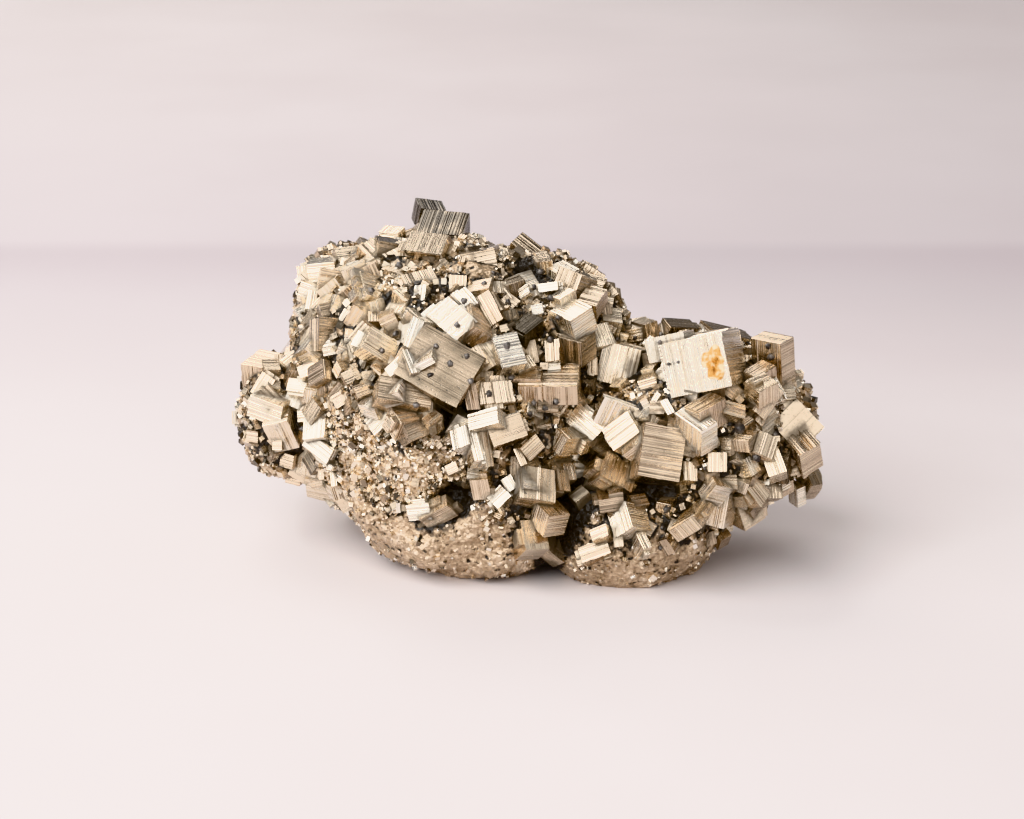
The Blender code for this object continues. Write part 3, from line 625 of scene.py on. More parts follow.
def crystal_piece(name, crystals, tones, strengths, others, seed, fineness=CELLS):
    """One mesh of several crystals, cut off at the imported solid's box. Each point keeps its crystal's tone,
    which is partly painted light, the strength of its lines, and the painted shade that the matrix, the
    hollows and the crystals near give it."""
    rng = np.random.default_rng(seed)
    every = crystals + others
    centres = np.array([centre for centre, _, _ in every])
    reaches = np.array([np.linalg.norm(half) for _, _, half in every])
    points, quads, lines, gaps = [], [], [], []
    count = 0
    for index, (crystal, strength) in enumerate(zip(crystals, strengths)):
        some_points, some_quads, some_lines = crystal_mesh(crystal, strength, rng, fineness)
        apart = np.linalg.norm(centres - crystal[0], axis=1)
        near = np.flatnonzero(apart < reaches + reaches[index] + NEAR)
        gaps.append(above_crystals(some_points, [every[n] for n in near if n != index]))
        points.append(some_points)
        quads.append(some_quads + count)
        lines.append(some_lines)
        count += len(some_points)
    sizes = [len(some_points) for some_points in points]
    points = np.clip(np.concatenate(points), box_low, box_high)
    return new_piece(
        name, points, np.concatenate(quads), np.concatenate(lines), tone=np.repeat(tones, sizes),
        ruling=np.repeat(strengths, sizes), shelter=shelter_at(points, np.concatenate(gaps)),
    )


def placed_piece(name, rows, crystals, others, seed, fineness=CELLS):
    """One mesh of crystals that have the tones, partly painted light, and the strengths of these rows."""
    *_, tones, strengths = zip(*rows)
    return crystal_piece(name, crystals, tones, strengths, others, seed, fineness)


def striated_pyrite(name):
    """Bright pyrite with growth lines. The lines are two triangle waves across the lines' map, spaced
    unevenly by noise that is even along it, and faded here and there. The colour follows each crystal's
    tone, which is partly painted light, clouded by tarnish. Painted shade makes dark hairlines in the
    deepest lines and turns it dark brown, mixed with tarnish, where it is sheltered."""
    material, shader, wire, place = new_material(name)
    ruled = wire.node("ShaderNodeUVMap", uv_map="lines")
    across = ruled.part(1)
    tone, shelter, ruling = (wire.attribute(label) for label in ("tone", "shelter", "ruling"))

    def uneven(per_mm, detail):
        inputs = {"W": across, "Scale": per_mm, "Detail": detail}
        return wire.node("ShaderNodeTexNoise", inputs, noise_dimensions="1D")

    def ridges(per_mm, bend):
        return wire.number("PINGPONG", across * per_mm + bend, 0.5) * 2.0

    wide = uneven(0.8, 1.0)
    fine = uneven(2.9, 2.0)
    stretched = wire.vector("MULTIPLY", ruled, (0.10, 0.8, 1.0))
    zone_inputs = {"Vector": stretched, "Scale": 1.0, "Detail": 1.0}
    zones = wire.node("ShaderNodeTexNoise", zone_inputs, noise_dimensions="2D")
    coarse_lines = ridges(1.9, wide * 5.0)
    fine_lines = ridges(3.9, fine * 3.0)
    cloud = place.noise(260.0, 4.0)
    speck = place.noise(2600.0, 2.0)
    deep = fine.between(0.40, 0.56) * zones.between(0.36, 0.56)
    thin = 1.0 - coarse_lines.between(0.04, 0.20) * fine_lines.between(0.0, 0.14)
    # painted shade: dark hairlines in the deepest grooves of the growth lines
    groove_shade = wire.number("MINIMUM", ruling, 1.0) * thin * (deep * 0.8 + 0.2)
    pit = speck.between(0.62, 0.72)
    shade = tone + (cloud - 0.5) * 0.50 - groove_shade * 0.42 - pit * 0.15 + (fine - 0.5) * ruling * 0.3
    colour = shade.ramp(
        (0.0, (0.09, 0.077, 0.06)), (0.2, (0.38, 0.305, 0.225)), (0.42, (0.66, 0.53, 0.395)),
        (0.7, (0.86, 0.735, 0.565)), (1.0, (0.96, 0.90, 0.80)),
    )
    # painted shade where a crystal is sheltered by neighbours, the matrix or a hollow, broken up by cloudy
    # tarnish
    shade_and_tarnish = (shelter + (cloud - 0.5) * 0.9 + (speck - 0.5) * 0.5).between(0.28, 1.0)
    ridge = coarse_lines * 0.45 * (zones * 0.8 + 0.4) + fine_lines * 0.17 + wide * 0.3
    feed(
        shader,
        Base_Color=(shade_and_tarnish * 0.82).mixed(colour, (0.085, 0.066, 0.045, 1.0)),
        Roughness=0.17 + groove_shade * 0.15 + shade_and_tarnish * 0.25 + pit * 0.15,
        Metallic=1.0 - shade_and_tarnish * 0.35,
        Normal=(ruling * ridge - pit * 0.1).bump(0.00014),
    )
    return material


pyrite_with_painted_light = striated_pyrite("striated_pyrite")
right_crystals = [seen_crystal(*row[:6]) for row in RIGHT_LOBE]
right_lobe = placed_piece("right_lobe", RIGHT_LOBE, right_crystals, [], RIGHT_SEED)
right_lobe.data.materials.append(pyrite_with_painted_light)
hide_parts("pyrite_cluster")


# Main body: the crystals of the middle of the front, crowded on each other over the ridge, the dark back
# top and the small ones down to the base. They are described and made as those of the right lobe are.

CENTRE = [
    ((424, 322), (487, 357), (393, 373), (0.10, 0.08), 4.0, 3.0, 0.20, 0.15),
    ((412, 316), (402, 345), (424, 322), (-0.40, 0.10), 4.0, 3.2, 0.95, 0.8),
    ((447, 294), (424, 314), (478, 321), (-0.30, 0.30), 6.0, 3.0, 0.95, 0.8),
    ((453, 295), (467, 311), (465, 286), (-0.30, 0.30), 4.0, 2.8, 0.95, 1.0),
    ((488, 289), (504, 318), (474, 298), (0.10, 0.30), 4.0, 2.5, 0.4, 1.0),
    ((527, 311), (508, 326), (544, 320), (0.00, 0.72), 5.0, 2.5, -0.12, 0.8),
    ((492, 336), (518, 331), (503, 368), (-0.20, 0.12), 5.0, 3.0, 0.95, 1.0),
    ((475, 326), (459, 340), (494, 338), (0.20, -0.25), 5.0, 1.5, 0.4, 1.0),
    ((477, 382), (481, 405), (512, 379), (0.05, 0.10), 5.0, 1.6, 0.5, 1.0),
    ((462, 384), (467, 411), (476, 383), (-0.10, 0.00), 4.0, 1.4, 0.5, 1.0),
    ((517, 386), (518, 406), (578, 386), (0.05, -0.36), 6.8, 2.8, 0.5, 0.8),
    ((544, 340), (545, 362), (559, 338), (-0.12, 0.08), 4.0, 2.2, 0.55, 1.0),
    ((549, 311), (556, 334), (570, 321), (-0.35, 0.25), 4.0, 2.0, 0.95, 1.0),
    ((572, 325), (596, 331), (557, 336), (0.20, 0.35), 4.0, 2.2, 0.25, 1.0),
    ((576, 301), (577, 316), (596, 306), (-0.05, -0.45), 4.0, 2.0, 0.5, 1.0),
    ((597, 305), (599, 318), (611, 302), (0.35, -0.10), 4.0, 1.6, 0.28, 1.0),
    ((583, 271), (608, 278), (577, 281), (0.10, 0.50), 4.0, 1.8, 0.42, 1.0),
    ((606, 285), (608, 303), (621, 288), (0.30, 0.00), 4.0, 1.0, 0.42, 1.0),
    ((522, 231), (549, 252), (510, 242), (0.22, 0.62), 4.5, 3.0, 0.28, 1.0),
    ((508, 252), (523, 264), (503, 259), (-0.10, -0.20), 4.0, 2.0, 0.5, 1.0),
    ((540, 262), (541, 276), (553, 260), (-0.15, -0.25), 4.0, 1.8, 0.55, 1.0),
    ((537, 284), (557, 281), (538, 293), (-0.20, -0.15), 3.5, 2.0, 0.95, 1.0),
    ((499, 266), (483, 277), (509, 273), (-0.20, 0.55), 4.0, 2.0, 0.55, 1.0),
    ((457, 257), (463, 283), (473, 254), (0.12, 0.10), 4.0, 2.2, 0.38, 1.0),
    ((445, 257), (433, 267), (456, 268), (0.00, 0.50), 3.5, 1.8, 0.15, 1.0),
    ((400, 274), (413, 298), (432, 265), (-0.10, 0.30), 4.5, 2.4, 0.55, 1.6),
    ((414, 285), (412, 301), (426, 284), (-0.35, 0.20), 2.5, 2.8, 0.95, 1.0),
    ((359, 269), (387, 278), (366, 294), (-0.10, 0.20), 2.6, 2.4, 0.8, 1.0),
    ((402, 250), (441, 255), (408, 260), (-0.10, 0.52), 3.5, 1.8, 0.55, 1.0),
    ((392, 260), (380, 269), (410, 264), (0.05, 0.60), 3.5, 1.4, 0.5, 1.0),
    ((415, 232), (462, 236), (416, 252), (0.02, -0.30), 6.0, 1.5, 0.02, 0.6),
    ((420, 208), (447, 211), (416, 229), (0.05, -0.20), 4.5, 0.5, 0.05, 1.0),
    ((378, 232), (397, 234), (380, 247), (-0.20, 0.10), 2.5, 1.0, 0.8, 1.0),
    ((358, 329), (350, 345), (378, 337), (-0.32, 0.15), 4.5, 3.0, 0.95, 1.0),
    ((373, 325), (404, 344), (362, 349), (0.00, 0.12), 3.5, 1.8, 0.65, 1.0),
    ((398, 356), (384, 369), (404, 364), (-0.15, 0.20), 3.0, 1.8, 0.95, 1.0),
    ((401, 350), (411, 374), (411, 348), (-0.38, 0.20), 3.0, 4.2, 0.95, 1.0),
    ((412, 366), (431, 356), (417, 373), (-0.35, 0.20), 3.0, 4.4, 0.95, 1.0),
    ((380, 374), (434, 384), (377, 398), (0.06, 0.12), 5.0, 3.2, 0.42, 0.7),
    ((376, 396), (397, 391), (386, 409), (-0.35, 0.20), 3.0, 3.8, 0.95, 1.0),
    ((357, 404), (374, 409), (362, 416), (-0.35, 0.20), 3.0, 1.5, 0.95, 1.0),
    ((391, 408), (411, 404), (401, 423), (0.10, 0.00), 3.5, 1.8, 0.55, 1.0),
    ((434, 408), (421, 418), (443, 415), (-0.05, 0.20), 3.0, 1.5, 0.55, 1.0),
    ((467, 414), (497, 406), (468, 430), (-0.35, 0.15), 5.0, 2.8, 0.95, 1.0),
    ((466, 430), (474, 461), (479, 428), (-0.35, 0.10), 3.5, 2.8, 0.95, 1.0),
    ((449, 431), (453, 451), (466, 424), (-0.35, 0.20), 4.0, 2.0, 0.95, 1.0),
    ((480, 432), (485, 468), (490, 430), (0.05, 0.00), 4.0, 2.4, 0.5, 1.0),
    ((483, 424), (520, 411), (492, 448), (0.06, 0.14), 6.0, 2.8, 0.46, 0.8),
    ((520, 448), (536, 433), (530, 462), (0.05, 0.00), 4.0, 2.2, 0.55, 1.0),
    ((513, 449), (521, 467), (520, 446), (-0.25, 0.00), 3.5, 2.0, 0.5, 1.0),
    ((580, 402), (607, 425), (563, 420), (-0.22, 0.12), 5.0, 3.0, 0.8, 0.7),
    ((556, 428), (547, 445), (568, 440), (-0.10, 0.00), 4.0, 2.4, 0.65, 1.0),
    ((569, 430), (586, 443), (564, 443), (-0.25, 0.05), 4.0, 3.0, 0.65, 1.0),
    ((521, 464), (520, 497), (557, 470), (0.06, 0.02), 6.0, 2.8, 0.55, 0.7),
    ((511, 474), (514, 497), (521, 465), (-0.45, 0.05), 4.0, 2.2, 0.95, 1.0),
    ((556, 468), (559, 490), (568, 470), (0.30, 0.00), 4.0, 2.0, 0.36, 1.0),
    ((563, 462), (567, 480), (574, 462), (0.10, 0.00), 3.5, 1.6, 0.36, 1.0),
    ((469, 480), (473, 501), (488, 479), (-0.30, -0.30), 3.2, 2.0, 0.55, 1.0),
    ((486, 497), (500, 484), (498, 509), (-0.30, 0.15), 4.0, 2.4, 0.95, 1.0),
    ((500, 480), (508, 493), (510, 474), (-0.25, 0.10), 3.0, 1.6, 0.95, 1.0),
    ((534, 501), (549, 517), (556, 498), (-0.10, 0.10), 3.5, 2.0, 0.55, 1.5),
    ((520, 520), (526, 550), (544, 519), (0.15, 0.10), 4.0, 1.6, 0.52, 0.25),
    ((533, 552), (553, 568), (545, 547), (0.10, -0.30), 3.0, 1.2, 0.42, 1.0),
    ((418, 521), (447, 506), (430, 531), (-0.05, 0.00), 2.2, 0.6, 0.55, 1.0),
    ((405, 505), (428, 503), (409, 522), (-0.30, 0.10), 3.5, 1.0, 0.95, 1.0),
    ((391, 503), (392, 513), (400, 503), (-0.30, 0.10), 3.0, 1.0, 0.95, 1.0),
    ((478, 241), (497, 246), (457, 250), (0.05, 0.62), 3.5, 1.6, 0.38, 1.0),
    ((474, 249), (484, 268), (480, 246), (-0.25, 0.30), 3.0, 1.8, 0.95, 1.0),
    ((517, 290), (527, 283), (520, 300), (-0.25, 0.15), 3.0, 1.4, 0.95, 1.0),
    ((530, 305), (542, 303), (532, 315), (-0.20, 0.20), 3.0, 1.6, 0.95, 1.0),
    ((549, 296), (560, 300), (552, 310), (-0.30, 0.15), 3.0, 1.4, 0.95, 1.0),
    ((561, 294), (558, 313), (573, 298), (0.05, 0.05), 3.5, 1.4, 0.34, 1.0),
    ((584, 289), (597, 299), (578, 297), (0.00, 0.45), 3.0, 2.4, 0.92, 1.2),
    ((601, 320), (614, 326), (596, 330), (0.10, 0.20), 3.5, 1.4, 0.55, 1.0),
    ((444, 466), (455, 461), (448, 476), (0.00, 0.10), 3.0, 0.8, 0.5, 1.0),
    ((340, 373), (356, 366), (347, 385), (-0.20, 0.20), 3.0, 1.4, 0.55, 1.0),
    ((352, 386), (368, 380), (358, 398), (0.00, 0.20), 3.5, 1.4, 0.5, 1.0),
]
CENTRE_SEED = 22

centre_crystals = [seen_crystal(*row[:6]) for row in CENTRE]
main_body = placed_piece("main_body", CENTRE, centre_crystals, right_crystals, CENTRE_SEED)
main_body.data.materials.append(pyrite_with_painted_light)
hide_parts("pyrite_cluster")


# Left side: the crystals of the small lobe that hangs clear on the left, and those along the left edge.
# They are pyrite grown on and into the matrix, described and made as those of the right lobe are.

LEFT_SIDE = [
    ((240, 363), (243, 393), (262, 368), (-0.25, -0.22), 5.0, 1.6, 0.55, 1.0),
    ((270, 383), (285, 399), (254, 393), (0.05, 0.30), 4.0, 2.4, 0.3, 1.3),
    ((262, 371), (249, 391), (275, 380), (-0.10, 0.20), 4.0, 2.0, 0.55, 1.0),
    ((289, 377), (319, 381), (286, 390), (-0.25, 0.00), 4.5, 2.6, 0.8, 1.0),
    ((296, 367), (321, 357), (300, 379), (-0.25, 0.25), 4.5, 2.2, 0.8, 1.0),
    ((322, 358), (324, 378), (331, 360), (-0.20, 0.10), 3.5, 2.4, 0.46, 1.0),
    ((250, 395), (283, 407), (246, 416), (-0.10, -0.12), 5.0, 2.6, 0.8, 1.0),
    ((231, 411), (232, 425), (243, 411), (-0.40, 0.20), 4.0, 2.0, 0.9, 1.0),
    ((304, 415), (302, 440), (326, 412), (-0.25, 0.10), 5.0, 2.4, 0.9, 1.0),
    ((309, 430), (334, 450), (301, 446), (-0.35, 0.20), 4.0, 3.2, 0.9, 1.0),
    ((311, 396), (300, 413), (321, 409), (-0.05, 0.15), 4.0, 2.6, 0.55, 1.0),
    ((272, 440), (282, 440), (272, 450), (-0.30, 0.15), 3.0, 1.5, 0.55, 1.0),
    ((329, 470), (331, 487), (335, 469), (-0.20, 0.10), 3.0, 1.5, 0.8, 1.0),
    ((296, 266), (297, 279), (307, 265), (-0.35, 0.20), 4.0, 1.0, 0.8, 1.0),
    ((297, 293), (297, 312), (306, 292), (-0.35, 0.15), 4.0, 1.0, 0.8, 1.0),
    ((318, 247), (321, 262), (334, 246), (0.05, 0.10), 4.0, 1.0, 0.5, 1.0),
    ((344, 242), (346, 255), (358, 241), (0.10, 0.20), 3.0, 1.0, 0.5, 1.0),
    ((293, 320), (292, 340), (303, 321), (-0.20, 0.10), 3.5, 1.0, 0.5, 1.0),
    ((246, 430), (258, 432), (246, 442), (-0.20, -0.10), 3.5, 0.8, 0.45, 1.0),
    ((281, 452), (294, 456), (279, 466), (-0.10, -0.10), 4.0, 0.8, 0.45, 1.0),
    ((284, 470), (300, 474), (284, 483), (0.00, -0.20), 4.0, 0.6, 0.45, 1.0),
]
LEFT_SEED = 23

left_crystals = [seen_crystal(*row[:6]) for row in LEFT_SIDE]
left_lobe = placed_piece("left_lobe", LEFT_SIDE, left_crystals, centre_crystals, LEFT_SEED)
left_lobe.data.materials.append(pyrite_with_painted_light)
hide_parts("pyrite_cluster")


# Back and ends: small and middling cubes spread over what the others leave bare. They are grown evenly and
# turned at random, as on the unseen sides of such specimens, and small where they show between the front's.

OUTLINE = [  # the specimen's outline in the picture, in pixels, clockwise from its left end
    (231, 415), (237, 364), (268, 349), (294, 345), (290, 300), (293, 266), (310, 248), (355, 237),
    (380, 227), (402, 236), (430, 200), (466, 221), (471, 237), (502, 243), (523, 230), (556, 256),
    (592, 258), (621, 288), (630, 315), (665, 312), (735, 325), (787, 348), (788, 380), (826, 427),
    (819, 472), (820, 488), (800, 503), (780, 501), (758, 530), (722, 542), (680, 570), (648, 587),
    (580, 580), (500, 572), (390, 558), (349, 518), (296, 496), (275, 485), (258, 457), (236, 438),
]
GRANULAR_PATCH = [  # the bare granular patch on the lower left of the front, in pixels
    (313, 395), (350, 405), (385, 425), (455, 438), (466, 478), (515, 510), (560, 590), (380, 590),
    (300, 520),
]
RULE_SEED = 11
RULE_TRIES = 0.8  # places tried on each lump, for every square millimetre of its mean radius squared
RULE_SIZES = (3.0, 8.0)  # shortest and longest edge
RULE_FRONT_SIZES = (2.2, 3.6)  # the same, between the front's crystals
RULE_POWER = 2.0  # the higher, the more of them are small
RULE_SQUASH = 0.35  # most that a crystal is shortened on an axis
RULE_SQUASH_POWER = 1.5  # the higher, the more of them are nearly cubes
RULE_FRONT = 0.25  # a place counts as on the front when it faces the viewer by this much
RULE_LOWEST = 3.0  # no corner of a rule crystal is lower than this
BURIED = 1.5  # a place further than this from the matrix's surface is buried
RULE_KEEP_CLEAR = 0.84  # share of two crystals' sizes that their centres keep apart
RULE_TONES = (0.30, 0.95)
RULE_RULING = (0.5, 1.5)  # weakest and strongest growth lines
BACK_SEED = 24
CUBE_CORNERS = np.array([(i, j, k) for i in (-1, 1) for j in (-1, 1) for k in (-1, 1)])


def in_picture(points):
    """Where points fall in the picture, in pixels."""
    away = np.asarray(points) - EYE
    across = np.stack([away @ RIGHT, -(away @ UP)], axis=-1)
    return PICTURE_SIZE / 2 + FOCAL_PIXELS * across / (away @ FORWARD)[..., None]


def inside(pixels, outline):
    """Whether each pixel is inside the outline: a line to its right crosses it an odd number of times."""
    start = np.asarray(outline, float)
    end = np.roll(start, -1, axis=0)
    x, y = pixels[:, None, 0], pixels[:, None, 1]
    spans = (start[:, 1] > y) != (end[:, 1] > y)
    rise = np.where(spans, end[:, 1] - start[:, 1], 1.0)
    meets = start[:, 0] + (end[:, 0] - start[:, 0]) * (y - start[:, 1]) / rise
    return (spans & (x < meets)).sum(axis=1) % 2 == 1


def even_ways(count):
    """Directions spread evenly over a sphere, along a golden spiral."""
    step = np.arange(count) + 0.5
    height = 1.0 - 2.0 * step / count
    turn = math.pi * (1.0 + math.sqrt(5.0)) * step
    level = np.sqrt(1.0 - height * height)
    return np.stack([level * np.cos(turn), level * np.sin(turn), height], axis=1)


def bare_places(tries):
    """Places spread evenly over every lump, less those that another lump buries."""
    lumps = []
    for centre, radii in LUMPS:
        count = round(tries * np.mean(radii) ** 2)
        lumps.append(np.asarray(centre) + even_ways(count) * radii)
    places = np.concatenate(lumps)
    surface = matrix_points(unit(places - HEART))
    return places[np.linalg.norm(surface - places, axis=1) < BURIED]


def corners(crystal):
    """A crystal's eight corners."""
    centre, axes, half = crystal
    return centre + CUBE_CORNERS * half @ axes


def random_size(rng, sizes, power, count=None):
    """A size from the smallest to the largest, or a count of them: an even draw, raised to a power."""
    return sizes[0] + (sizes[1] - sizes[0]) * rng.random(count) ** power


def rule_crystals(placed):
    """Boxes over what the placed crystals leave bare: each stays inside the outline and off the floor,
    and those on the front are small and keep off the granular patch."""
    rng = np.random.default_rng(RULE_SEED)
    points = rng.permutation(bare_places(RULE_TRIES))
    on_front = unit(points - HEART) @ FORWARD < -RULE_FRONT
    granular = inside(in_picture(points), GRANULAR_PATCH)
    taken = [(centre, half.max()) for centre, _, half in placed]
    found = []
    for point, front, bare in zip(points, on_front, granular):
        size = random_size(rng, RULE_FRONT_SIZES if front else RULE_SIZES, RULE_POWER)
        axes = random_turns(rng, 1)[0]
        crystal = (point, axes, size / 2 * (1.0 - RULE_SQUASH * rng.random(3) ** RULE_SQUASH_POWER))
        around = corners(crystal)
        clear = [np.linalg.norm(point - c) > RULE_KEEP_CLEAR * (r + size / 2) for c, r in taken]
        fits = around[:, 2].min() > RULE_LOWEST and inside(in_picture(around), OUTLINE).all()
        if fits and all(clear) and not (front and bare):
            taken.append((point, size / 2))
            found.append(crystal)
    return found


placed_crystals = right_crystals + centre_crystals + left_crystals
back_crystals = rule_crystals(placed_crystals)
chance = np.random.default_rng(BACK_SEED)
back = crystal_piece(
    "back_and_ends", back_crystals, chance.uniform(*RULE_TONES, len(back_crystals)),
    chance.uniform(*RULE_RULING, len(back_crystals)), placed_crystals, BACK_SEED,
)
back.data.materials.append(pyrite_with_painted_light)
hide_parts("pyrite_cluster")


# Stepped growth: lower blocks of the placed crystals that grew on along their sides, square with them, so
# that their edges go down in steps. Each has the tone, partly painted light, of the crystal that it belongs
# to.

STEPS_EACH = 3  # blocks tried on each crystal
STEPPED_FROM = 3.0  # longest edge of the smallest crystal that has them
STEP_SHARE = (0.28, 0.62)  # a block's half sizes, as shares of the crystal's
STEP_OUT = (0.75, 1.02)  # how far out a block's middle is, as a share of the crystal's half size
STEP_ALONG = 0.75  # how far it may be along that side, as the same share
STEP_DOWN = (0.12, 1.1)  # how far its outer face is below the crystal's
STEP_SEED = 35
STEP_CELLS = [(3.4, 7), (0.0, 4)]
LEAST_CLEARANCE = 0.03  # between the lowest corner of anything small and the floor
FACE_SHARE = 0.92  # share of a placed crystal's outer face that smaller ones keep clear of
FACE_GAPS = (0.05, 4.0)  # from how near over that face to how far they keep clear


def stands_over(around, centres, axes, halves):
    """Whether any of these corners is over the outer face of any of the boxes, well within its edges."""
    local = np.einsum("pij,cpj->cpi", axes, around[:, None] - centres)
    over = (np.abs(local[..., :2]) < FACE_SHARE * halves[:, :2]).all(axis=2)
    near, far = FACE_GAPS
    return (over & (local[..., 2] > halves[:, 2] + near) & (local[..., 2] < halves[:, 2] + far)).any()


def in_box(points):
    """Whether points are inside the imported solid's box and clear of the floor. They may be in groups, and
    then it is whether all of a group are."""
    return ((points > box_low + (0.0, 0.0, LEAST_CLEARANCE)) & (points < box_high)).all(axis=(-2, -1))


def stepped_growth(crystals):
    """Blocks on the crystals' sides, and which crystal each is on. Each keeps inside the outline and off
    the outer faces of the other crystals."""
    rng = np.random.default_rng(STEP_SEED)
    faces = [np.array(part) for part in zip(*crystals)]
    found, parents = [], []
    for index, (centre, axes, half) in enumerate(crystals):
        if 2.0 * half.max() < STEPPED_FROM:
            continue
        others = [np.delete(part, index, axis=0) for part in faces]
        for _ in range(STEPS_EACH):
            side = rng.integers(2)
            size = half * rng.uniform(*STEP_SHARE, 3)
            place = np.empty(3)
            place[side] = rng.choice((-1.0, 1.0)) * half[side] * rng.uniform(*STEP_OUT)
            place[1 - side] = half[1 - side] * rng.uniform(-STEP_ALONG, STEP_ALONG)
            place[2] = half[2] - rng.uniform(*STEP_DOWN) - size[2]
            block = (centre + place @ axes, axes, size)
            around = corners(block)
            fits = in_box(around) and inside(in_picture(around), OUTLINE).all()
            if fits and not stands_over(around, *others):
                found.append(block)
                parents.append(index)
    return found, parents


stepped, parents = stepped_growth(placed_crystals)
placed_rows = RIGHT_LOBE + CENTRE + LEFT_SIDE
parent_rows = [placed_rows[index] for index in parents]
steps = placed_piece("stepped_growth", parent_rows, stepped, placed_crystals, STEP_SEED, STEP_CELLS)
steps.data.materials.append(pyrite_with_painted_light)
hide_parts("pyrite_cluster")


# Infill: the small cubes that crowd between the larger ones until no gap is left, grown into each other
# and into the matrix at every angle. They have growth lines too, and painted shade darkens the matrix at
# their feet.

INFILL_TRIES = 4.5  # places tried, as for the crystals of the back
INFILL_SIZES = (2.5, 6.0)
INFILL_POWER = 1.6  # the higher, the more of them are small
INFILL_SQUASH = 0.4  # most that a crystal is shortened on an axis
INFILL_SHIFT = 0.4  # how far a place is moved at random
INFILL_KEEP_CLEAR = 0.50
INFILL_BURIED = -0.9  # a middle deeper than this in a crystal is left out
NEIGHBOUR_SHARE = 0.62  # of a grown crystal's half size that an infill cube keeps clear of
INFILL_LOWEST = 0.3
INFILL_FRONT_LOWEST = 8.5  # for a middle on the front, whose base is bare
INFILL_TONES = (0.10, 0.92)
INFILL_RULING = (0.5, 1.6)
INFILL_SINK = (-1.5, 0.3)  # how far a middle may be sunk in the matrix or stand out of it
INFILL_LEAN = 0.40  # how far a crystal's outer face leans from the matrix's surface
HOLLOW_KEPT = 0.25  # small crystals grow only where a hollow's darkness is less than this
INFILL_CELLS = [(5.0, 8), (3.6, 6), (0.0, 4)]
# painted shade on the matrix round the crystals' feet fades out below the next height
DRUSE_LOWEST = 10.0  # below this the matrix is a compact band, bare and pale
# the next three numbers set that painted shade: how dark, how far it reaches, how little is left on the band
CRACK_SHADE = 0.75  # how dark the matrix is where a crystal stands on it
CRACK_SHADE_WIDTH = 0.6  # how far from a crystal that fades to a third
CRACK_SHADE_LEAST = 0.15  # on the bare band the darkness falls to the square of this
INFILL_SEED = 30


def leaning_turn(rng, outward):
    """Three square axes: the last leans at random from the outward direction, and the others are spun
    round it at random."""
    normal = unit(outward + INFILL_LEAN * rng.normal(size=3))
    first = unit(np.cross(normal, rng.normal(size=3)))
    return np.array([first, np.cross(normal, first), normal])


def infill_crystals(grown_already):
    """Boxes at places spread over the matrix, moved a little at random, where they keep a share of their
    size from every other middle, in the outline, off the floor and off the granular patch."""
    rng = np.random.default_rng(INFILL_SEED)
    points = rng.permutation(bare_places(INFILL_TRIES))
    points = points + rng.normal(size=points.shape) * INFILL_SHIFT
    ways = unit(points - HEART)
    points = matrix_points(ways) + ways * rng.uniform(*INFILL_SINK, (len(points), 1))
    facing = -(ways @ FORWARD)
    granular = inside(in_picture(points), GRANULAR_PATCH) & (facing > RULE_FRONT)
    low = (points[:, 2] < INFILL_FRONT_LOWEST) & (facing > 0.0)
    kept = (above_crystals(points, grown_already) > INFILL_BURIED) & (hollow_shade(points) < HOLLOW_KEPT)
    kept = kept & ~granular & ~low
    centres = np.array([centre for centre, _, _ in grown_already])
    reaches = np.array([half.max() for _, _, half in grown_already]) * NEIGHBOUR_SHARE
    faces = [np.array(part) for part in zip(*placed_crystals)]
    found = []
    for point, way in zip(points[kept], ways[kept]):
        size = random_size(rng, INFILL_SIZES, INFILL_POWER)
        crystal = (point, leaning_turn(rng, way), size / 2 * (1.0 - INFILL_SQUASH * rng.random(3)))
        around = corners(crystal)
        gaps = np.linalg.norm(centres - point, axis=1) - INFILL_KEEP_CLEAR * (reaches + size / 2)
        if gaps.min() < 0 or around[:, 2].min() < INFILL_LOWEST or stands_over(around, *faces):
            continue
        if in_box(around) and inside(in_picture(around), OUTLINE).all():
            centres = np.concatenate([centres, [point]])
            reaches = np.append(reaches, size / 2)
            found.append(crystal)
    return found


grown = placed_crystals + back_crystals + stepped
infill = infill_crystals(grown)
chance = np.random.default_rng(INFILL_SEED)
infill_piece = crystal_piece(
    "infill", infill, chance.uniform(*INFILL_TONES, len(infill)),
    chance.uniform(*INFILL_RULING, len(infill)), grown, INFILL_SEED, INFILL_CELLS,
)
grown = grown + infill
spots = np.empty(3 * len(matrix.data.vertices), np.float32)
matrix.data.vertices.foreach_get("co", spots)
spots = spots.reshape(-1, 3) / MM + ORIGIN
# painted shade on the matrix round the feet of all the crystals, and in the hollows
crack_shade = CRACK_SHADE * np.exp(-np.maximum(above_crystals(spots, grown), 0.0) / CRACK_SHADE_WIDTH)
crack_shade = crack_shade * np.clip(spots[:, 2] / DRUSE_LOWEST, CRACK_SHADE_LEAST, 1.0) ** 2
darkness = np.maximum(crack_shade, hollow_shade(spots)).astype(np.float32)
matrix.data.attributes["dark"].data.foreach_set("value", darkness)
infill_piece.data.materials.append(pyrite_with_painted_light)
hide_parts("pyrite_cluster")


# Druse: the tiniest cubes, which line the cracks that are left. They sit half sunk in the matrix, turned
# every way, and are joined in one mesh.

DRUSE_TRIES = 7.0  # places tried, as for the crystals of the back
DRUSE_SIZES = (0.35, 1.35)
DRUSE_SEED = 31
DRUSE_SQUASH = 0.35  # most that a cube is shortened on an axis
# the next number is the druse's share of the larger crystals' painted shade
DRUSE_SHADE = 0.80  # share of the larger crystals' shelter
DRUSE_TONES = (0.0, 0.85)
DRUSE_LIFT = 0.25  # how far a middle is above the matrix
TINY_POWER = 2.0  # the higher, the more of them are small
TINY_RULING = 0.4  # strength of their growth lines
TINY_SHIFT = 0.6  # how far a place is moved at random, as a share of the spacing
COVERED = -0.25  # a place deeper than this in a crystal is covered by it


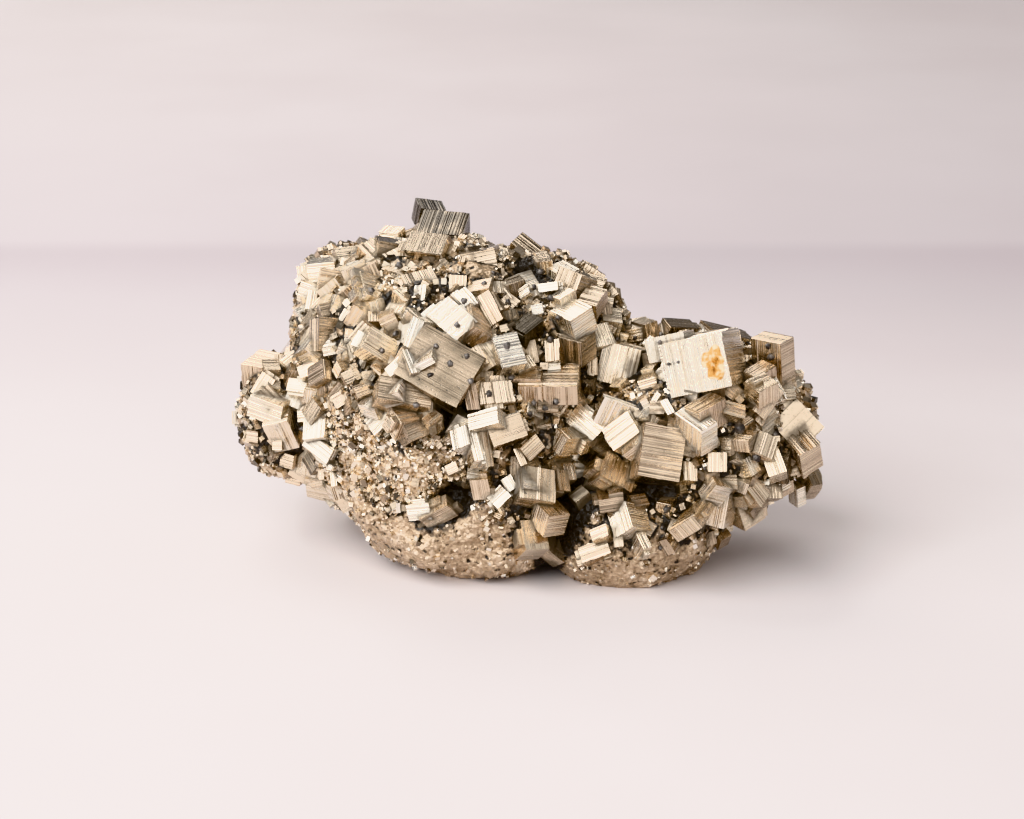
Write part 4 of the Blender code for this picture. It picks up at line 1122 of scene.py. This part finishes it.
def scattered_cubes(name, places, sizes, tones, seed, squash, share):
    """One mesh of small boxes: a cube's eight corners times each one's half sizes and turned axes, at its
    place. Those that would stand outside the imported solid's box are left out."""
    rng = np.random.default_rng(seed)
    count = len(places)
    size = random_size(rng, sizes, TINY_POWER, count)
    half = size[:, None] / 2 * (1.0 - squash * rng.random((count, 3)))
    points = places[:, None] + np.einsum("ck,nk,nkj->ncj", CUBE_CORNERS, half, random_turns(rng, count))
    kept = in_box(points)
    points, tone = points[kept], rng.uniform(*tones, count)[kept]
    net, quads, _ = cube_net(1)
    points = points[:, (net * (4, 2, 1)).sum(axis=1)]
    quads = (quads + len(net) * np.arange(len(points))[:, None, None]).reshape(-1, 4)
    inside_out = np.linalg.det(points[:, [4, 2, 1]] - points[:, :1]) < 0
    turned = np.repeat(inside_out, 6)
    quads[turned] = quads[turned, ::-1]
    points = points.reshape(-1, 3)
    edge = points[quads] - points[quads[:, :1]]
    lines = np.stack([np.einsum("qcj,qj->qc", edge, unit(edge[:, end])) for end in (1, 3)], axis=2)
    return new_piece(
        name, points, quads, lines + rng.uniform(0.0, MAP_SPREAD, (len(quads), 1, 2)),
        tone=np.repeat(tone, len(net)), ruling=np.full(len(points), TINY_RULING),
        shelter=shelter_at(points, above_crystals(points, grown), share),
    )


def surface_places(tries, lift, rng):
    """Places on the matrix that no crystal covers, moved at random within their own spacing and lifted."""
    places = bare_places(tries)
    places = places + rng.normal(size=places.shape) * TINY_SHIFT / math.sqrt(tries)
    ways = unit(places - HEART)
    places = matrix_points(ways) + ways * lift
    return places[(above_crystals(places, grown) > COVERED) & (hollow_shade(places) < HOLLOW_KEPT)]


druse_places = surface_places(DRUSE_TRIES, DRUSE_LIFT, np.random.default_rng(DRUSE_SEED))
druse_places = druse_places[druse_places[:, 2] > DRUSE_LOWEST]
druse = scattered_cubes(
    "druse", druse_places, DRUSE_SIZES, DRUSE_TONES, DRUSE_SEED, DRUSE_SQUASH, DRUSE_SHADE
)
druse.data.materials.append(striated_pyrite("druse_pyrite"))
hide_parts("pyrite_cluster")


# Grains: the fine granular pyrite of the bare patch, the ridge and the base band, which is nothing but
# crystals too small to tell apart. Joined in one mesh.

GRAIN_TRIES = 60.0
GRAIN_SIZES = (0.25, 1.0)
GRAIN_SQUASH = 0.75
# the next number is the grains' share of the larger crystals' painted shade
GRAIN_SHADE = 0.55
GRAIN_TONES = (0.05, 1.15)
GRAIN_LIFT = 0.15
SAND_SEED = 32
PATCH_WAVES = [((0.31, 0.17, 0.23), 0.0), ((-0.19, 0.37, 0.29), 1.0)]  # how each crosses, and its start
PATCHES_FROM = 1.1  # grains grow where the waves add up to more than this
BAND_TOP = 11.0
BAND_WAVE = (1.2, 0.9)  # height of the waves in the band's upper edge, and how fast they follow each other
BAND_SHARE = 0.10  # of the places on the band that have a grain


def granular_places(rng):
    """Places for grains: all over the granular patch of the front, in patches elsewhere above the band,
    where a sum of crossed waves is high, and here and there on everything else."""
    places = surface_places(GRAIN_TRIES, GRAIN_LIFT, rng)
    front = unit(places - HEART) @ FORWARD < -RULE_FRONT
    patch = inside(in_picture(places), GRANULAR_PATCH) & front
    waves = sum(np.sin(places @ crossing + start) for crossing, start in PATCH_WAVES)
    above = places[:, 2] + BAND_WAVE[0] * np.sin(places[:, 0] * BAND_WAVE[1]) > BAND_TOP
    return places[(above & (patch | (waves > PATCHES_FROM))) | (rng.random(len(places)) < BAND_SHARE)]


grain_places = granular_places(np.random.default_rng(SAND_SEED))
grains = scattered_cubes(
    "grains", grain_places, GRAIN_SIZES, GRAIN_TONES, SAND_SEED, GRAIN_SQUASH, GRAIN_SHADE
)
grains.data.materials.append(striated_pyrite("grain_pyrite"))
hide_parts("pyrite_cluster")


# Dark grains: small dark grey grains of another ore that sit on and between the crystals, rounded and
# lustrous. They are joined in one mesh.

DARK_GRAINS = [  # middle in the picture, in pixels, and radius
    (464, 301, 0.5), (457, 325, 0.45), (436, 346, 0.4), (450, 363, 0.5), (467, 356, 0.4), (430, 375, 0.4),
    (382, 351, 0.5), (396, 334, 0.45), (416, 405, 0.5), (489, 394, 0.5), (471, 381, 0.4), (511, 378, 0.5),
    (507, 346, 0.6), (550, 340, 0.5), (558, 318, 0.4), (551, 298, 0.5), (493, 273, 0.45), (399, 266, 0.6),
    (371, 291, 0.5), (484, 283, 0.4), (508, 303, 0.5), (534, 287, 0.4), (541, 272, 0.5), (625, 331, 0.35),
    (635, 338, 0.3), (617, 339, 0.35), (661, 335, 0.4), (661, 383, 0.45), (669, 364, 0.3), (678, 362, 0.25),
    (660, 342, 0.35), (738, 428, 1.05), (775, 434, 0.5), (757, 457, 0.6), (705, 468, 0.5), (667, 509, 0.6),
    (662, 528, 0.45), (660, 548, 0.4), (771, 357, 0.5), (768, 346, 0.4), (534, 403, 0.5), (545, 408, 0.4),
    (530, 414, 0.4), (556, 402, 0.45), (553, 425, 0.4), (388, 477, 0.5), (302, 429, 0.5),
]
DARK_GRID = (6, 9)  # rows from pole to pole, and columns round
DARK_SWELL = 1.1  # they are this much larger than the rows say, because they are partly sunk
DARK_LUMPS = 0.16  # how uneven their radius is
DARK_SQUASH = 0.35  # most that one is flattened on an axis
DARK_SEED = 33
SEARCH_SPAN = 60.0  # how far before and beyond the view's target the matrix is looked for
SEARCH_STEP = 0.05


def ray_boxes(way, crystals):
    """How far from the eye a ray first meets one of these boxes: the slab that it enters last, if that is
    before it leaves any."""
    nearest = np.inf
    for centre, axes, half in crystals:
        start = axes @ (EYE - centre)
        step = axes @ way
        first = (-half - start) / step
        second = (half - start) / step
        enters = np.minimum(first, second).max()
        leaves = np.maximum(first, second).min()
        if enters < leaves:
            nearest = min(nearest, enters)
    return nearest


def ray_matrix(way):
    """How far from the eye a ray first meets the matrix, to one search step."""
    along = np.arange(VIEW_DISTANCE - SEARCH_SPAN, VIEW_DISTANCE + SEARCH_SPAN, SEARCH_STEP)
    below = np.flatnonzero(above_matrix(EYE + along[:, None] * way) < 0.0)
    return along[below[0]] if len(below) else np.inf


def seen_place(pixel):
    """The first point of the specimen that a pixel of the picture shows."""
    way = sight_line(pixel)
    return EYE + way * min(ray_boxes(way, grown), ray_matrix(way))


def knobs(name, places, radii, seed):
    """Small rounded grains: a ball about the Z axis, whose radius at each point is changed at random."""
    rng = np.random.default_rng(seed)
    ball, faces = ball_net(*DARK_GRID)
    ball = np.roll(ball, -1, axis=1)
    count = len(places)
    swell = 1.0 + DARK_LUMPS * rng.normal(size=(count, len(ball), 1))
    squash = 1.0 - DARK_SQUASH * rng.random((count, 1, 3))
    points = np.asarray(radii)[:, None, None] * ball * swell * squash
    points = np.einsum("nck,nkj->ncj", points, random_turns(rng, count)) + np.asarray(places)[:, None]
    faces = faces + len(ball) * np.arange(count)[:, None, None]
    return new_piece(name, points.reshape(-1, 3), faces.reshape(-1, 3), rounded=True)


def dark_ore():
    """Dark brown-grey with a resinous shine, clouded a little."""
    material, shader, _, place = new_material("dark_ore")
    cloud = place.noise(900.0, 3.0)
    feed(
        shader,
        Base_Color=cloud.ramp((0.35, (0.04, 0.034, 0.03)), (0.65, (0.20, 0.18, 0.165))),
        Roughness=cloud * 0.3 + 0.22,
        Metallic=cloud.between(0.3, 0.7) * 0.4 + 0.3,
        Normal=cloud.bump(0.0002, 0.6),
    )
    return material


dark_places = [seen_place(row[:2]) for row in DARK_GRAINS]
dark_grains = knobs("dark_grains", dark_places, [DARK_SWELL * row[2] for row in DARK_GRAINS], DARK_SEED)
dark_grains.data.materials.append(dark_ore())
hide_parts("pyrite_cluster")


# Orange patch: a thin earthy crust of iron oxide on the middle of the largest cube's face. It formed where
# the pyrite weathered, and its closed underside is sunk in the face, so no gap shows.

PATCH_MIDDLE = (714, 363)  # pixels
PATCH_CRYSTAL = 0  # in the right lobe's list
PATCH_RADIUS = 2.05
PATCH_THICK = 0.22
PATCH_RINGS = 14
PATCH_SPOKES = 72
PATCH_SUNK = 0.16  # how far its closed underside is below the face
PATCH_LOBES = np.arange(2, 9)  # how many times each cosine of its rim goes round
PATCH_RAGGED = 0.30  # how far the slowest of them moves the rim, as a share of the radius times its number
PATCH_SQUASH = 0.85  # its height as a share of its width
PATCH_LUMPS = (0.6, 0.8)  # least share of the thickness at a point, and how much more there may be
PATCH_SEED = 34


def crust_patch():
    """A low mound on a crystal's face: rings round its middle, whose radius wanders with the angle as a
    sum of cosines, and whose height falls to nothing at the rim. Its underside is the same rings, sunk."""
    rng = np.random.default_rng(PATCH_SEED)
    spoke = 2.0 * math.pi * np.arange(PATCH_SPOKES) / PATCH_SPOKES
    starts = rng.uniform(0, 6.3, len(PATCH_LOBES))
    rim = 1.0 + (PATCH_RAGGED / PATCH_LOBES * np.cos(spoke[:, None] * PATCH_LOBES + starts)).sum(axis=1)
    share = np.arange(1, PATCH_RINGS + 1) / PATCH_RINGS
    out = (share[:, None] * rim * PATCH_RADIUS).ravel()
    turn = np.tile(spoke, PATCH_RINGS)
    least, more = PATCH_LUMPS
    lumps = least + more * rng.random((PATCH_RINGS, PATCH_SPOKES))
    height = PATCH_THICK * (1.0 - share[:, None] ** 4) * lumps
    height[-1] = -PATCH_SUNK
    level = np.stack([out * np.cos(turn), out * np.sin(turn) * PATCH_SQUASH], axis=1)
    level = np.concatenate([[[0.0, 0.0]], level])
    top = np.column_stack([level, np.append(PATCH_THICK, height)])
    inner = len(level) - PATCH_SPOKES
    under = np.column_stack([level[:inner], np.full(inner, -PATCH_SUNK)])
    ring, place = np.meshgrid(np.arange(PATCH_RINGS - 1), np.arange(PATCH_SPOKES), indexing="ij")
    a = (1 + ring * PATCH_SPOKES + place).ravel()
    b = (1 + ring * PATCH_SPOKES + (place + 1) % PATCH_SPOKES).ravel()
    upper = np.concatenate([
        np.stack([a, a + PATCH_SPOKES, b + PATCH_SPOKES], axis=1),
        np.stack([a, b + PATCH_SPOKES, b], axis=1),
        np.stack([np.zeros(PATCH_SPOKES, int), a[:PATCH_SPOKES], b[:PATCH_SPOKES]], axis=1),
    ])
    beneath = np.arange(len(level))
    beneath[:inner] += len(level)
    lower = beneath[upper][:, ::-1]
    _, axes, _ = right_crystals[PATCH_CRYSTAL]
    points = seen_place(PATCH_MIDDLE) + np.concatenate([top, under]) @ axes
    return new_piece("orange_patch", points, np.concatenate([upper, lower]))


def earthy_oxide():
    """Dusty orange, paler towards cream in places."""
    material, shader, _, place = new_material("earthy_oxide")
    cloud = place.noise(1100.0, 5.0)
    feed(
        shader,
        Base_Color=cloud.ramp(
            (0.36, (0.36, 0.16, 0.035)), (0.48, (0.68, 0.38, 0.11)), (0.60, (0.90, 0.74, 0.48))
        ),
        Roughness=cloud * 0.2 + 0.6,
        Normal=cloud.bump(0.0005),
    )
    return material


orange_patch = crust_patch()
orange_patch.data.materials.append(earthy_oxide())
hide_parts("pyrite_cluster")


# Stage: a plain pale floor, with painted shade that deepens behind the specimen and to its right, in a dim
# room. A broad soft window on the left, a smaller one behind, and weak cards on the right and in front
# light it. The camera is where the photograph was taken from.

FLOOR_HALF = 3.0  # metres
FLOOR_TONES = ((0.575, 0.523, 0.515), (0.61, 0.558, 0.55))
FIBRES = (14.0, 3.0)  # how many clouds of the floor's two tones to a metre, and their detail
ROOM = (0.30, 0.291, 0.29)
LIGHTS = [  # name, direction from the specimen, distance, width, power, colour
    ("window", (-0.62, -0.46, 0.62), 0.60, 0.76, 7.4, (0.985, 0.992, 1.01)),
    ("back_window", (-0.30, 0.62, 0.70), 0.70, 0.50, 3.1, (1.0, 0.97, 0.94)),
    ("right_card", (0.85, -0.30, 0.35), 0.90, 0.90, 1.3, (1.0, 0.99, 0.98)),
    ("front_card", (0.15, -0.88, 0.46), 0.90, 1.10, 4.0, (1.0, 0.98, 0.96)),
]
LIGHTS_AIM = Vector((0.0, 0.0, 0.02))  # metres
# painted shade on the floor, by distance behind the specimen; the numbers after the list add more of it to
# the right
FLOOR_SHADE = [  # distance behind the specimen, in metres, and how far the floor's tone has fallen there
    (0.0, 0.0), (0.07, 0.22), (0.11, 0.42), (0.150, 0.66), (0.159, 0.70), (0.168, 0.52), (0.28, 0.34),
    (0.45, 0.18),
]
FLOOR_SHADE_RIGHT = (-0.02, 0.22)  # from where to where it also falls along X
FLOOR_SHADE_RIGHT_SHARE = 0.14
# the colour that the floor's painted shade mixes towards
FLOOR_SHADE_TONE = (0.34, 0.29, 0.31)
SENSOR = 36.0
CLIP = (0.01, 20.0)  # nearest and furthest that the camera sees, in metres

floor_mesh = bpy.data.meshes.new("floor")
floor_corners = [(x * FLOOR_HALF, y * FLOOR_HALF, 0.0) for x, y in ((-1, -1), (1, -1), (1, 1), (-1, 1))]
floor_mesh.from_pydata(floor_corners, [], [(0, 1, 2, 3)])
floor = bpy.data.objects.new("floor", floor_mesh)
bpy.context.scene.collection.objects.link(floor)
card, card_shader, _, card_place = new_material("pale_card")
fibres = card_place.noise(*FIBRES)
# painted shade: the floor's colour is mixed towards a dark tone behind the specimen and to its right
floor_shade = card_place.part(1).ramp(*((place, (grey, grey, grey)) for place, grey in FLOOR_SHADE))
floor_shade = floor_shade + card_place.part(0).between(*FLOOR_SHADE_RIGHT) * FLOOR_SHADE_RIGHT_SHARE
feed(
    card_shader,
    Base_Color=floor_shade.mixed(fibres.ramp((0.35, FLOOR_TONES[0]), (0.65, FLOOR_TONES[1])), (*FLOOR_SHADE_TONE, 1.0)),
    Roughness=fibres * 0.1 + 0.75,
)
floor_mesh.materials.append(card)

for name, way, distance, width, power, colour in LIGHTS:
    lamp = bpy.data.lights.new(name, "AREA")
    lamp.shape = "DISK"
    lamp.size = width
    lamp.energy = power
    lamp.color = colour
    holder = bpy.data.objects.new(name, lamp)
    holder.location = Vector(way).normalized() * distance + LIGHTS_AIM
    holder.rotation_euler = (-Vector(way)).to_track_quat("-Z", "Y").to_euler()
    bpy.context.scene.collection.objects.link(holder)

world = bpy.data.worlds.new("dim_room")
world.use_nodes = True
world.node_tree.nodes["Background"].inputs["Color"].default_value = (*ROOM, 1.0)
bpy.context.scene.world = world

camera = bpy.data.cameras.new("camera")
camera.sensor_width = SENSOR
camera.lens = FOCAL_PIXELS * SENSOR / PICTURE_SIZE[0]
camera.clip_start, camera.clip_end = CLIP
viewer = bpy.data.objects.new("camera", camera)
viewer.location = Vector((EYE - ORIGIN) * MM)
viewer.rotation_euler = Vector(FORWARD).to_track_quat("-Z", "Y").to_euler()
bpy.context.scene.collection.objects.link(viewer)
bpy.context.scene.camera = viewer
bpy.context.scene.view_settings.view_transform = "Khronos PBR Neutral"
